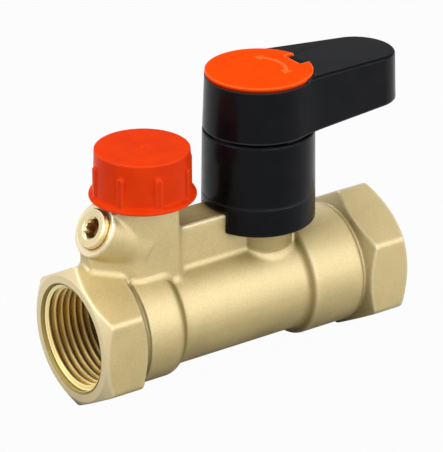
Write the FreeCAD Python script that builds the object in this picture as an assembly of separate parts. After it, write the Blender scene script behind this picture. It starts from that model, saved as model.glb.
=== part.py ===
import FreeCAD, Part
import math
import os

# Isolating ball valve with a built-in drain cock, size DN 25, all lengths in millimetres.
# The origin is the centre of the drain side port, +X runs along the pipe, +Z up along the stem.

# Pipe ends: inside thread G 1 and the forged hexagon round it
port_thread_d = 33.25
port_thread_depth = 18.0
port_mouth_widening = 1.4
hex_across_flats = 41.0
hex_face_margin = 1.3
hex_edge_length = 10.6
hex_chamfer_deg = 30.0
hex_cutter_margin = 1.0
port_wall = 2.1
port_funnel_deg = 45.0

# Ball, seats and the ring that holds them
ball_d = 28.4
ball_bore_d = 19.0
ball_slot_width = 6.0
ball_slot_depth = 3.6
ball_clearance = 0.4
seat_clearance = 0.05
seat_length = 6.0
seat_lap = 1.7
retainer_length = 8.0
retainer_nose = 0.8
retainer_step = 0.45
retainer_run_out = 3.2
retainer_slot_width = 4.0
retainer_slot_depth = 2.5
main_bore_d = 23.0

# Barrel and the collars beside the hexagons
barrel_wall = 2.4
collar_step = 2.25
collar_gap = 0.9
near_collar_length = 14.8
near_collar_crown = 4.3
near_collar_crown_r = 6.0
far_collar_length = 17.2
far_collar_run = 4.2

# Drain tower, the web in front of it and the rib behind it
drain_x = 26.5
drain_to_stem = 42.5
tower_half_width = 8.8
tower_front = 7.1
tower_back = 8.4
tower_corner_r = 2.2
tower_top = 40.8
web_nose_x = 5.6
web_nose_half_width = 3.4
web_nose_corner_r = 1.2
rib_half_width = 6.2
rib_top = 30.0
rib_edge_r = 0.9
base_fillet_r = 1.5

# Drain outlet: outside thread G 3/4, given by the foot of its thread
outlet_foot_d = 24.1
outlet_thread_height = 1.16
outlet_top = 52.2
outlet_bore_d = 15.0
outlet_chamfer = 1.0
outlet_bore_floor = 25.0

# Spindle boss, leaning up and out from the drain tower
boss_tilt_deg = 30.0
boss_face_x = 9.1
boss_face_z = 34.2
boss_d = 17.3
boss_length = 16.0
boss_draft = 0.5
boss_face_proud = 0.3
boss_mouth_d = 14.6
boss_facing_margin = 0.8
boss_mouth_depth = 1.1

# Drain spindle with its hexagon socket, ring and seal
spindle_d = 12.4
spindle_clearance = 0.05
spindle_guide = 13.0
spindle_edge = 0.5
spindle_proud = 1.5
spindle_key = 6.0
spindle_key_depth = 4.5
spindle_key_mouth = 0.8
spindle_groove_at = 9.4
spindle_shank_d = 6.0
spindle_plate_d = 8.8
spindle_plate = 2.0
spindle_stud_d = 3.0
spindle_stud_head_d = 4.0
spindle_stud_head = 0.7
spindle_seal = 1.6
spindle_seat_depth = 24.0
spindle_chamber_margin = 1.2
spindle_seat_gap = 0.05
drain_way_d = 5.2
drain_way_end = 49.0

# Stem in its neck
neck_d = 21.2
neck_top = 36.0
neck_edge = 0.8
stem_d = 9.8
stem_clearance = 0.1
stem_collar_d = 12.4
stem_collar_clearance = 0.2
stem_collar_gap = 0.8
stem_collar = 2.2
stem_blade_clearance = 0.1
stem_blade_half_length = 4.8
thrust_washer = 1.0
stem_square = 7.0
stem_square_clearance = 0.1
stem_top = 52.0
lower_o_ring_z = 23.6
upper_o_ring_z = 29.0

# Round seals: cord thickness and the room round it
o_ring_cord = 1.7
o_ring_room = 0.05
o_ring_groove_width = 2.4

# Sleeve between the neck and the lever
sleeve_bottom = 23.4
sleeve_top = 53.2
sleeve_bottom_d = 35.6
sleeve_top_d = 34.8
sleeve_wall = 2.4
sleeve_edge_r = 0.8
sleeve_seam_z = 32.6
sleeve_seam = 0.3
sleeve_web = 2.4
sleeve_web_hole_d = 13.0
sleeve_collar_wall = 1.9
sleeve_collar_clearance = 0.1
sleeve_collar_bottom = 25.0
sleeve_spoke = 1.8
sleeve_spoke_half_count = 2
sleeve_spoke_pitch_deg = 60.0
sleeve_notch_margin = 0.25
stop_height = 4.0
stop_clearance = 0.5
stop_wall = 4.2
stop_tab_deg = 20.0
stop_play_deg = 1.0

# Lever
lever_gap = 0.9
lever_knob_d = 33.4
lever_seat_z = 70.7
lever_draft = 0.6
lever_top_rise = 1.45
lever_top_fall = 0.047
lever_bottom_rise = 0.012
lever_reach = 38.0
lever_tip_r = 11.2
lever_arm_inset = 1.06
lever_blend_r = 60.0
lever_wall = 2.3
lever_roof = 2.4
lever_edge_r = 1.0
lever_horn_start = 7.5
lever_hub_d = 17.0
lever_hub_clearance = 0.3
lever_floor = 3.0
lever_pocket_d = 12.4
lever_web = 1.8
lever_web_lift = 3.0
lever_web_first = 22.0
lever_web_pitch = 7.0
lever_web_count = 3
turn_deg = 90.0

# Cover disc that clips into the lever
disc_clearance = 0.1
disc_thickness = 1.6
disc_edge_r = 0.4
disc_clip_wall = 1.2
disc_clip_length = 5.0
notch_width = 8.4
notch_depth = 4.2
notch_slot = 1.7
notch_slot_depth = 2.0
notch_clearance = 0.25

# Screw that holds the lever on the stem
screw_d = 4.8
screw_clearance = 0.1
screw_length = 13.0
screw_head_d = 8.4
screw_head = 3.0
screw_head_r = 1.2
screw_key = 3.0
screw_key_depth = 1.8
washer_d = 10.4
washer_thickness = 1.0

# Cap on the drain outlet
cap_gap = 0.4
cap_top_wall = 2.4
cap_top_d = 29.0
cap_foot_d = 30.0
cap_thread_room = 0.15
cap_edge_r = 0.4
cap_flange_d = 32.7
cap_flange = 0.9
cap_flange_cone = 0.9
cap_rib_count = 8
cap_rib_turn_deg = 31.0
cap_rib_width = 2.2
cap_rib_d = 31.2
cap_rib_drop = 4.2
cap_nub_d = 1.2
cap_nub_top_d = 0.6
cap_nub = 0.4
gasket_thickness = 2.0
gasket_clearance = 0.3

# Sizes that follow from those above
stem_x = drain_x + drain_to_stem
port_r = port_thread_d / 2
hex_corner_r = hex_across_flats / math.sqrt(3)
hex_face_r = (hex_across_flats - hex_face_margin) / 2
chamfer_run = math.tan(math.radians(hex_chamfer_deg))
hex_front = (hex_corner_r - hex_face_r) * chamfer_run
hex_back = hex_front + hex_edge_length
groove_r = port_r + port_wall
hex_foot = hex_back + (hex_corner_r - groove_r) * chamfer_run
near_collar_start = hex_foot + collar_gap
near_collar_end = near_collar_start + near_collar_length

ball_r = ball_d / 2
chamber_r = ball_r + ball_clearance
barrel_r = chamber_r + barrel_wall
collar_r = barrel_r + collar_step
seat_r = ball_r + seat_clearance
seat_inner_r = ball_bore_d / 2
seat_outer = seat_r * math.cos(math.asin((seat_inner_r + seat_lap) / seat_r))
seat_front_x = stem_x - seat_outer - seat_length
seat_rear_x = stem_x + seat_outer + seat_length
retainer_start = seat_rear_x + retainer_nose
retainer_end = seat_rear_x + retainer_length
retainer_r = chamber_r + retainer_step
far_port_start = retainer_end + retainer_run_out
body_length = far_port_start + port_thread_depth
far_collar_end = body_length - near_collar_start
far_collar_start = far_collar_end - far_collar_length - far_collar_run

outlet_foot_r = outlet_foot_d / 2
outlet_thread_r = outlet_foot_r + outlet_thread_height
neck_r = neck_d / 2
stem_r = stem_d / 2
stem_collar_bottom = ball_r + stem_collar_gap
stem_collar_top = stem_collar_bottom + stem_collar
stem_shoulder = stem_collar_top + thrust_washer
stem_pocket_r = stem_collar_d / 2 + stem_collar_clearance
cord_r = o_ring_cord / 2

sleeve_web_top = neck_top + sleeve_web
sleeve_bore_r = sleeve_top_d / 2 - sleeve_wall
lever_bottom = sleeve_top + lever_gap
lever_top_z = lever_seat_z + lever_top_rise
lever_hub_bottom = sleeve_web_top + lever_hub_clearance
lever_knob_r = lever_knob_d / 2
stop_inner_r = lever_hub_d / 2 + stop_clearance
stop_outer_r = stop_inner_r + stop_wall
stop_tab_r = stop_outer_r - stop_clearance
washer_bottom = stem_top + lever_floor
screw_seat = washer_bottom + washer_thickness
disc_r = lever_knob_r - disc_clearance
cap_bottom = tower_top + cap_gap
cap_inner_r = outlet_thread_r + cap_thread_room
cap_inner_top = outlet_top + gasket_thickness
cap_top = cap_inner_top + cap_top_wall
spindle_r = spindle_d / 2
spindle_bore_r = spindle_r + spindle_clearance
spindle_chamber_r = spindle_plate_d / 2 + spindle_chamber_margin
far_out = 2 * body_length

ORIGIN = FreeCAD.Vector(0, 0, 0)
AXIS_X = FreeCAD.Vector(1, 0, 0)
AXIS_Y = FreeCAD.Vector(0, 1, 0)
AXIS_Z = FreeCAD.Vector(0, 0, 1)


class Outline:
    """A closed outline of lines and arcs, drawn point by point in one plane."""

    def __init__(self, place, start):
        self.place = place
        self.first = start
        self.here = start
        self.edges = []

    def line(self, *points):
        for point in points:
            self.edges.append(Part.makeLine(self.place(*self.here), self.place(*point)))
            self.here = point
        return self

    def arc(self, through, end):
        curve = Part.Arc(self.place(*self.here), self.place(*through), self.place(*end))
        self.edges.append(curve.toShape())
        self.here = end
        return self

    def wire(self):
        if self.here != self.first:
            self.line(self.first)
        return Part.Wire(self.edges)

    def face(self):
        return Part.Face(self.wire())


def upright(x, z):
    return FreeCAD.Vector(x, 0, z)


def flat(x, y):
    return FreeCAD.Vector(x, y, 0)


def at_stem(r, z):
    return FreeCAD.Vector(stem_x + r, 0, z)


def at_drain(r, z):
    return FreeCAD.Vector(drain_x + r, 0, z)


def turned(outline, x=0.0, axis=AXIS_Z):
    return outline.face().revolve(FreeCAD.Vector(x, 0, 0), axis, 360)


def cylinder(x, r, bottom, top):
    return Part.makeCylinder(r, top - bottom, FreeCAD.Vector(x, 0, bottom))


def ring(x, inner, outer, bottom, top):
    return cylinder(x, outer, bottom, top).cut(cylinder(x, inner, bottom, top))


def block(x0, x1, half_width, z0, z1):
    return Part.makeBox(x1 - x0, 2 * half_width, z1 - z0, FreeCAD.Vector(x0, -half_width, z0))


def torus(x, ring_r, z):
    return Part.makeTorus(ring_r, cord_r, FreeCAD.Vector(x, 0, z))


def on_boss(shape):
    """Moves a shape drawn along +Z from the boss face to its leaning place."""
    turn = FreeCAD.Rotation(AXIS_Y, boss_tilt_deg - 90)
    lean = FreeCAD.Placement(FreeCAD.Vector(boss_face_x, 0, boss_face_z), turn)
    shape.Placement = lean.multiply(shape.Placement)
    return shape


def edges_where(shape, test):
    """Edges whose two ends and middle all pass the test."""
    chosen = []
    for edge in shape.Edges:
        middle = edge.valueAt((edge.FirstParameter + edge.LastParameter) / 2)
        points = [vertex.Point for vertex in edge.Vertexes] + [middle]
        if all(test(point) for point in points):
            chosen.append(edge)
    return chosen


def near(a, b):
    return abs(a - b) < 1e-3


def hexagon_end():
    """Hexagon at the drain side, corner up, with a chamfer on both sides."""
    corners = [
        FreeCAD.Vector(0, hex_corner_r * math.sin(turn), hex_corner_r * math.cos(turn))
        for turn in (math.radians(60 * step) for step in range(7))
    ]
    prism = Part.Face(Part.makePolygon(corners)).extrude(AXIS_X * hex_foot)
    proud_r = hex_corner_r + hex_cutter_margin
    chamfers = Outline(upright, (0, 0)).line(
        (0, hex_face_r),
        ((proud_r - hex_face_r) * chamfer_run, proud_r),
        (hex_back - hex_cutter_margin * chamfer_run, proud_r),
        (hex_foot, groove_r),
        (hex_foot, 0),
    )
    return prism.common(turned(chamfers, axis=AXIS_X))


def barrel():
    """Round barrel with the crowned near collar and the swept far collar."""
    crown_x = near_collar_end - near_collar_crown
    crown_centre = collar_r - near_collar_crown_r

    def crown(run):
        return (crown_x + run, crown_centre + math.sqrt(near_collar_crown_r**2 - run**2))

    half_run = far_collar_run / 2
    half_step = collar_step / 2
    sweep_r = (half_run**2 + half_step**2) / (2 * half_step)
    quarter = math.asin(half_run / sweep_r) / 2
    quarter_run = sweep_r * math.sin(quarter)
    quarter_step = sweep_r * (1 - math.cos(quarter))
    sweep_end = far_collar_start + far_collar_run
    outline = Outline(upright, (hex_foot, 0))
    outline.line((hex_foot, groove_r), (near_collar_start, groove_r), (near_collar_start, collar_r))
    outline.line((crown_x, collar_r))
    outline.arc(crown(near_collar_crown / 2), crown(near_collar_crown))
    outline.line((near_collar_end, barrel_r), (far_collar_start, barrel_r))
    outline.arc(
        (far_collar_start + quarter_run, barrel_r + quarter_step),
        (far_collar_start + half_run, barrel_r + half_step),
    )
    outline.arc((sweep_end - quarter_run, collar_r - quarter_step), (sweep_end, collar_r))
    outline.line((far_collar_end, collar_r), (far_collar_end, groove_r))
    outline.line((body_length - hex_foot, groove_r), (body_length - hex_foot, 0))
    return turned(outline, axis=AXIS_X)


def drain_tower():
    """Tower with flat sides and the tapering web that carries the spindle boss."""
    front = drain_x - tower_front
    back = drain_x + tower_back
    corner = tower_corner_r * (1 - math.sqrt(0.5))
    nose = web_nose_corner_r
    plan = Outline(flat, (front, tower_half_width))
    plan.line((back - tower_corner_r, tower_half_width))
    plan.arc((back - corner, tower_half_width - corner), (back, tower_half_width - tower_corner_r))
    plan.line((back, tower_corner_r - tower_half_width))
    plan.arc((back - corner, corner - tower_half_width), (back - tower_corner_r, -tower_half_width))
    plan.line((front, -tower_half_width), (web_nose_x + nose, -web_nose_half_width))
    plan.line((web_nose_x, nose - web_nose_half_width), (web_nose_x, web_nose_half_width - nose))
    plan.line((web_nose_x + nose, web_nose_half_width))
    prism = plan.face().extrude(AXIS_Z * tower_top)
    ahead = on_boss(Part.makeCylinder(far_out, far_out, FreeCAD.Vector(0, 0, -boss_face_proud)))
    return prism.cut(ahead)


def spindle_boss():
    """Leaning boss, faced off level with the tower so that the cap's flange can turn over it."""
    boss = Part.makeCone(boss_d / 2 + boss_draft, boss_d / 2, boss_length)
    boss.translate(AXIS_Z * -boss_length)
    facing_r = cap_flange_d / 2 + boss_facing_margin
    return on_boss(boss).cut(cylinder(drain_x, facing_r, tower_top, outlet_top))


def tower_rib():
    """Rib from the tower to the neck, with rounded upper edges."""
    rib = block(drain_x, stem_x, rib_half_width, 0, rib_top)
    upper = edges_where(rib, lambda point: near(point.z, rib_top) and near(abs(point.y), rib_half_width))
    return rib.makeFillet(rib_edge_r, upper)


def stem_neck():
    outline = Outline(at_stem, (0, 0))
    outline.line((neck_r, 0), (neck_r, neck_top - neck_edge), (neck_r - neck_edge, neck_top), (0, neck_top))
    return turned(outline, stem_x)


def drain_outlet():
    """Threaded outlet over the tower, with a shoulder cone under it."""
    shoulder = tower_top + outlet_foot_r - tower_half_width
    outline = Outline(at_drain, (0, tower_top - tower_corner_r))
    outline.line((tower_half_width - tower_corner_r, tower_top - tower_corner_r))
    outline.line((tower_half_width, tower_top), (outlet_foot_r, shoulder))
    outline.line((outlet_foot_r, outlet_top - outlet_chamfer), (outlet_foot_r - outlet_chamfer, outlet_top))
    outline.line((0, outlet_top))
    return turned(outline, drain_x)


def pipe_bore():
    """Both ports, the main bore and the ball chamber as one turned shape."""
    mouth_r = port_r + port_mouth_widening / 2
    mouth_run = port_mouth_widening / 2
    main_r = main_bore_d / 2
    funnel_run = (port_r - main_r) / math.tan(math.radians(port_funnel_deg))
    outline = Outline(upright, (0, 0))
    outline.line((0, mouth_r), (mouth_run, port_r), (port_thread_depth, port_r))
    outline.line((port_thread_depth + funnel_run, main_r), (seat_front_x, main_r))
    outline.line((seat_front_x, chamber_r), (retainer_start, chamber_r), (retainer_start, retainer_r))
    outline.line((far_port_start, retainer_r), (far_port_start, port_r))
    outline.line((body_length - mouth_run, port_r), (body_length, mouth_r), (body_length, 0))
    return turned(outline, axis=AXIS_X)


def stem_bore():
    shaft = cylinder(stem_x, stem_r + stem_clearance, 0, neck_top)
    return shaft.fuse(cylinder(stem_x, stem_pocket_r, 0, stem_shoulder))


def drain_bores():
    """Spindle bore, seal chamber, way to the main bore and the upright outlet bore."""
    outline = Outline(upright, (0, 0))
    outline.line((boss_mouth_d / 2, 0), (spindle_bore_r, -boss_mouth_depth), (spindle_bore_r, -spindle_guide))
    outline.line((spindle_chamber_r, -spindle_guide), (spindle_chamber_r, -spindle_seat_depth))
    outline.line((drain_way_d / 2, -spindle_seat_depth), (drain_way_d / 2, -drain_way_end))
    outline.line((0, -drain_way_end))
    leaning = on_boss(turned(outline))
    return leaning.fuse(cylinder(drain_x, outlet_bore_d / 2, outlet_bore_floor, outlet_top))


def forging():
    """Outside of the body, with fillets where the rib and the neck grow out of the barrel."""
    near_end = hexagon_end()
    far_end = near_end.mirror(AXIS_X * (body_length / 2), AXIS_X)
    outside = barrel().multiFuse(
        [near_end, far_end, drain_tower(), spindle_boss(), tower_rib(), stem_neck(), drain_outlet()]
    )
    outside = outside.removeSplitter()
    rib_side = edges_where(outside, lambda point: near(abs(point.y), rib_half_width))
    feet = [edge for edge in rib_side if edge.BoundBox.ZMin < rib_top - 2 * rib_edge_r]
    feet += edges_where(
        outside,
        lambda point: near(math.hypot(point.x - stem_x, point.y), neck_r) and point.z < collar_r + neck_edge,
    )
    return outside.makeFillet(base_fillet_r, feet)


def valve_body():
    return forging().cut(pipe_bore().multiFuse([stem_bore(), drain_bores()]))


def ball():
    """Ball with its bore along the pipe and a slot across the top for the stem."""
    centre = FreeCAD.Vector(stem_x, 0, 0)
    solid = Part.makeSphere(ball_r, centre)
    bore = Part.makeCylinder(seat_inner_r, ball_d, centre - AXIS_X * ball_r, AXIS_X)
    half_slot = ball_slot_width / 2
    slot = block(stem_x - half_slot, stem_x + half_slot, ball_r, ball_r - ball_slot_depth, ball_r)
    return solid.cut(bore).cut(slot)


def seat_ring():
    """Front seat ring, hollowed to the ball."""
    blank_r = chamber_r - seat_clearance
    outline = Outline(upright, (seat_front_x, seat_inner_r))
    outline.line((seat_front_x, blank_r), (seat_front_x + seat_length, blank_r))
    outline.line((seat_front_x + seat_length, seat_inner_r))
    blank = turned(outline, axis=AXIS_X)
    return blank.cut(Part.makeSphere(seat_r, FreeCAD.Vector(stem_x, 0, 0)))


def rear_seat_ring():
    return seat_ring().mirror(FreeCAD.Vector(stem_x, 0, 0), AXIS_X)


def retainer_groove():
    """Start of the ring groove along X, then its floor."""
    start = retainer_start + o_ring_groove_width / 2
    floor = retainer_r - o_ring_cord - 2 * o_ring_room
    return start, floor


def seat_retainer():
    """Threaded ring that holds the rear seat, with four slots for its spanner."""
    nose_r = chamber_r - seat_clearance
    thread_r = retainer_r - seat_clearance
    groove, floor = retainer_groove()
    groove_end = groove + o_ring_groove_width
    outline = Outline(upright, (seat_rear_x, seat_inner_r))
    outline.line((seat_rear_x, nose_r), (retainer_start, nose_r), (retainer_start, thread_r))
    outline.line((groove, thread_r), (groove, floor), (groove_end, floor), (groove_end, thread_r))
    outline.line((retainer_end, thread_r), (retainer_end, seat_inner_r))
    solid = turned(outline, axis=AXIS_X)
    slot_start = retainer_end - retainer_slot_depth
    slot = block(slot_start, retainer_end, retainer_slot_width / 2, -thread_r, thread_r)
    return solid.cut(slot).cut(slot.rotate(ORIGIN, AXIS_X, 90))


def retainer_o_ring():
    groove, floor = retainer_groove()
    centre = FreeCAD.Vector(groove + o_ring_groove_width / 2, 0, 0)
    return Part.makeTorus(floor + o_ring_room + cord_r, cord_r, centre, AXIS_X)


def stem_groove_floor():
    return stem_r - o_ring_cord + o_ring_room


def stem():
    """Stem put in from the chamber: blade, collar, two ring grooves and a square top."""
    floor = stem_groove_floor()
    half = o_ring_groove_width / 2
    outline = Outline(at_stem, (0, stem_collar_bottom))
    outline.line((stem_collar_d / 2, stem_collar_bottom), (stem_collar_d / 2, stem_collar_top))
    outline.line((stem_r, stem_collar_top))
    for z in (lower_o_ring_z, upper_o_ring_z):
        outline.line((stem_r, z - half), (floor, z - half), (floor, z + half), (stem_r, z + half))
    outline.line((stem_r, neck_top), (0, neck_top))
    blade_bottom = ball_r - ball_slot_depth + stem_blade_clearance
    half_blade = ball_slot_width / 2 - stem_blade_clearance
    blade = block(
        stem_x - half_blade, stem_x + half_blade, stem_blade_half_length, blade_bottom, stem_collar_bottom
    )
    half_square = stem_square / 2
    square = block(stem_x - half_square, stem_x + half_square, half_square, neck_top, stem_top)
    square = square.common(cylinder(stem_x, stem_r, neck_top, stem_top))
    hole = cylinder(stem_x, screw_d / 2 + screw_clearance, stem_top - screw_length, stem_top)
    return turned(outline, stem_x).multiFuse([blade, square]).cut(hole)


def stem_thrust_washer():
    outer = stem_collar_d / 2
    return ring(stem_x, stem_r + stem_clearance, outer, stem_collar_top, stem_shoulder)


def stem_o_ring(z):
    return torus(stem_x, stem_groove_floor() + o_ring_room + cord_r, z)


def sleeve_bore():
    """Inside of the sleeve above and below its web."""
    below = cylinder(stem_x, sleeve_bore_r, sleeve_bottom, neck_top)
    return below.fuse(cylinder(stem_x, sleeve_bore_r, sleeve_web_top, sleeve_top))


def stop_wall_sector():
    """Horseshoe wall on the web that stops the lever's tab at both ends of the turn."""
    wall = ring(stem_x, stop_inner_r, stop_outer_r, sleeve_web_top, sleeve_web_top + stop_height)
    half_tab = stop_tab_deg / 2 + stop_play_deg
    gap = Part.makeCylinder(
        stop_outer_r, stop_height, at_stem(0, sleeve_web_top), AXIS_Z, turn_deg + 2 * half_tab
    )
    return wall.cut(gap.rotate(at_stem(0, 0), AXIS_Z, -turn_deg - half_tab))


def rib_passage(margin):
    """Room for the rib of the body under the sleeve, larger than the rib by the margin."""
    return block(stem_x - sleeve_bottom_d, stem_x, rib_half_width + margin, 0, rib_top + margin)


def neck_sleeve():
    """Moulded sleeve: shell, web on the neck, collar round the neck, spokes and the rib notch."""
    height = sleeve_top - sleeve_bottom
    shell = Part.makeCone(sleeve_bottom_d / 2, sleeve_top_d / 2, height, at_stem(0, sleeve_bottom))
    rims = edges_where(shell, lambda point: near(point.z, sleeve_bottom) or near(point.z, sleeve_top))
    shell = shell.makeFillet(sleeve_edge_r, rims)
    shell = shell.cut(sleeve_bore())
    seam_r = sleeve_bottom_d / 2 - sleeve_seam
    seam = ring(stem_x, seam_r, sleeve_bottom_d, sleeve_seam_z, sleeve_seam_z + sleeve_seam)
    collar_inner = neck_r + sleeve_collar_clearance
    collar_outer = collar_inner + sleeve_collar_wall
    collar = ring(stem_x, collar_inner, collar_outer, sleeve_collar_bottom, neck_top)
    collar = collar.cut(rib_passage(base_fillet_r + sleeve_notch_margin))
    spoke_start = stem_x + collar_outer - sleeve_seam
    spoke_end = stem_x + sleeve_bore_r + sleeve_seam
    spokes = []
    for step in range(-sleeve_spoke_half_count, sleeve_spoke_half_count + 1):
        spoke = block(spoke_start, spoke_end, sleeve_spoke / 2, sleeve_collar_bottom, neck_top)
        spokes.append(spoke.rotate(at_stem(0, 0), AXIS_Z, step * sleeve_spoke_pitch_deg))
    solid = shell.cut(seam).multiFuse([collar, stop_wall_sector()] + spokes)
    hole = cylinder(stem_x, sleeve_web_hole_d / 2, neck_top, sleeve_web_top)
    return solid.cut(rib_passage(sleeve_notch_margin)).cut(hole)


def lever_outline(inset, z):
    """Plan of the lever at one height: knob, hollow blends, tapering arm and round tip."""
    knob_r = lever_knob_r - inset
    tip_r = lever_tip_r - inset
    blend_r = lever_blend_r + inset
    side_gap = knob_r - lever_arm_inset
    taper = math.asin((side_gap - tip_r) / lever_reach)
    along = math.sqrt((knob_r + blend_r)**2 - (side_gap + blend_r)**2)

    def skew(run, out):
        x = run * math.cos(taper) + out * math.sin(taper)
        y = out * math.cos(taper) - run * math.sin(taper)
        return (x, y)

    centre = skew(along, side_gap + blend_r)
    share = knob_r / (knob_r + blend_r)
    leave = (centre[0] * share, centre[1] * share)
    join = skew(along, side_gap)
    middle = ((leave[0] + join[0]) / 2 - centre[0], (leave[1] + join[1]) / 2 - centre[1])
    stretch = blend_r / math.hypot(*middle)
    blend = (centre[0] + middle[0] * stretch, centre[1] + middle[1] * stretch)
    tip = skew(0, tip_r)
    tip = (lever_reach + tip[0], tip[1])

    def other(point):
        return (point[0], -point[1])

    outline = Outline(lambda x, y: FreeCAD.Vector(stem_x + x, y, z), leave)
    outline.arc((-knob_r, 0), other(leave))
    outline.arc(other(blend), other(join))
    outline.line(other(tip))
    outline.arc((lever_reach + tip_r, 0), tip)
    outline.line(join)
    outline.arc(blend, leave)
    return outline.wire()


def lever_blank(inset, bottom, top):
    """Drafted block on the lever's plan, wider towards its open underside."""
    slope = lever_draft / (lever_seat_z - lever_bottom)
    low = lever_outline(inset - slope * (lever_seat_z - bottom), bottom)
    high = lever_outline(inset - slope * (lever_seat_z - top), top)
    return Part.makeLoft([low, high], True, True)


def over_slope(z, fall):
    """Everything above a plane that passes through z at the stem and falls along the arm."""
    outline = Outline(at_stem, (-far_out, z + fall * far_out))
    outline.line((far_out, z - fall * far_out), (far_out, far_out), (-far_out, far_out))
    solid = outline.face().extrude(AXIS_Y * far_out)
    solid.translate(AXIS_Y * (-far_out / 2))
    return solid


def lever_shell():
    """Outer shell of the lever, rounded along its upper edge and open underneath."""
    blank = lever_blank(0, lever_bottom, lever_top_z).cut(over_slope(lever_top_z, lever_top_fall))

    def on_top(point):
        return near(point.z, lever_top_z - lever_top_fall * (point.x - stem_x))

    blank = blank.makeFillet(lever_edge_r, edges_where(blank, on_top))
    blank = blank.common(over_slope(lever_bottom, -lever_bottom_rise))
    roof_z = lever_seat_z - lever_roof
    hollow = lever_blank(lever_wall, lever_bottom, lever_seat_z).cut(over_slope(roof_z, lever_top_fall))
    return blank.cut(hollow), hollow


def lever_webs(hollow):
    """One long web and several cross webs under the arm, cut to the hollow."""
    top = lever_top_z
    bottom = lever_bottom + lever_web_lift
    half = lever_web / 2
    webs = [block(stem_x, stem_x + lever_reach + lever_tip_r, half, bottom, top)]
    for step in range(lever_web_count):
        x = stem_x + lever_web_first + step * lever_web_pitch
        webs.append(block(x - half, x + half, lever_knob_r, bottom, top))
    return [web.common(hollow) for web in webs]


def lever_hub():
    """Hub with the square hole for the stem, the screw pocket and the stop tab."""
    hub_r = lever_hub_d / 2
    hub = cylinder(stem_x, hub_r, lever_hub_bottom, lever_seat_z)
    tab_height = stop_height - lever_hub_clearance
    tab = Part.makeCylinder(stop_tab_r, tab_height, at_stem(0, lever_hub_bottom), AXIS_Z, stop_tab_deg)
    return hub.fuse(tab.rotate(at_stem(0, 0), AXIS_Z, -stop_tab_deg / 2))


def lever():
    shell, hollow = lever_shell()
    solid = shell.multiFuse([lever_hub()] + lever_webs(hollow))
    half_square = stem_square / 2 + stem_square_clearance
    square = block(stem_x - half_square, stem_x + half_square, half_square, lever_hub_bottom, stem_top)
    screw_hole = cylinder(stem_x, screw_d / 2 + screw_clearance, stem_top, washer_bottom)
    pocket = cylinder(stem_x, lever_pocket_d / 2, washer_bottom, lever_seat_z)
    above = lever_top_z + lever_edge_r
    horn_x = stem_x + lever_horn_start
    seat = cylinder(stem_x, lever_knob_r, lever_seat_z, above)
    seat = seat.fuse(block(stem_x - lever_knob_d, horn_x, lever_knob_d, lever_seat_z, above))
    slot_x = stem_x + disc_r - notch_depth + notch_clearance
    tongue_half = notch_width / 2 - notch_clearance
    tongue = block(slot_x + notch_slot, stem_x + far_out, tongue_half, 0, far_out)
    slot = block(slot_x, slot_x + notch_slot, tongue_half, lever_seat_z - notch_slot_depth, lever_seat_z)
    return solid.cut(square).cut(screw_hole).cut(pocket).cut(seat.cut(tongue)).cut(slot)


def cover_disc():
    """Disc that closes the screw pocket, notched for the blade that prises it out."""
    top = lever_seat_z + disc_thickness
    disc = cylinder(stem_x, disc_r, lever_seat_z, top)
    rim = edges_where(disc, lambda point: near(point.z, top) and point.x > 0)
    rim = [edge for edge in rim if edge.Closed]
    disc = disc.makeFillet(disc_edge_r, rim)
    notch = block(stem_x + disc_r - notch_depth, stem_x + far_out, notch_width / 2, lever_seat_z, top)
    clip_r = lever_pocket_d / 2 - disc_clearance
    clip = ring(stem_x, clip_r - disc_clip_wall, clip_r, lever_seat_z - disc_clip_length, lever_seat_z)
    return disc.cut(notch).fuse(clip)


def hexagon_socket(across_flats, depth):
    corner_r = across_flats / math.sqrt(3)
    corners = [flat(corner_r * math.cos(turn), corner_r * math.sin(turn))
               for turn in (math.radians(60 * step) for step in range(7))]
    return Part.Face(Part.makePolygon(corners)).extrude(AXIS_Z * -depth)


def lever_screw():
    """Button head screw, its plain shank standing for the thread."""
    head_top = screw_seat + screw_head
    head = cylinder(stem_x, screw_head_d / 2, screw_seat, head_top)
    head = head.makeFillet(screw_head_r, edges_where(head, lambda point: near(point.z, head_top)))
    tip = stem_top - screw_length + stem_blade_clearance
    socket = hexagon_socket(screw_key, screw_key_depth)
    socket.translate(at_stem(0, head_top))
    return head.fuse(cylinder(stem_x, screw_d / 2, tip, screw_seat)).cut(socket)


def lever_washer():
    return ring(stem_x, screw_d / 2 + screw_clearance, washer_d / 2, washer_bottom, screw_seat)


def spindle_groove_floor():
    return spindle_bore_r - o_ring_cord - o_ring_room


def drain_spindle():
    """Spindle with a hexagon socket, ring groove, shank and the plate that carries the seal."""
    groove = -spindle_groove_at
    groove_end = groove - o_ring_groove_width
    floor = spindle_groove_floor()
    shank_r = spindle_shank_d / 2
    plate_r = spindle_plate_d / 2
    seal_back = spindle_seal + spindle_seat_gap - spindle_seat_depth
    stud_r = spindle_stud_d / 2
    head_back = -spindle_seat_depth
    outline = Outline(upright, (0, spindle_proud))
    outline.line((spindle_r - spindle_edge, spindle_proud), (spindle_r, spindle_proud - spindle_edge))
    outline.line((spindle_r, groove))
    outline.line((floor, groove), (floor, groove_end), (spindle_r, groove_end))
    outline.line((spindle_r, -spindle_guide), (shank_r, -spindle_guide))
    outline.line((shank_r, seal_back + spindle_plate), (plate_r, seal_back + spindle_plate))
    outline.line((plate_r, seal_back), (stud_r, seal_back), (stud_r, head_back))
    outline.line((spindle_stud_head_d / 2, head_back))
    outline.line((spindle_stud_head_d / 2, head_back - spindle_stud_head), (0, head_back - spindle_stud_head))
    mouth_r = spindle_key / math.sqrt(3) + spindle_key_mouth / 2
    mouth = Part.makeCone(mouth_r - spindle_key_mouth, mouth_r, spindle_key_mouth,
                          AXIS_Z * -spindle_key_mouth)
    socket = hexagon_socket(spindle_key, spindle_key_depth).fuse(mouth)
    socket.translate(AXIS_Z * spindle_proud)
    return on_boss(turned(outline).cut(socket))


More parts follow.
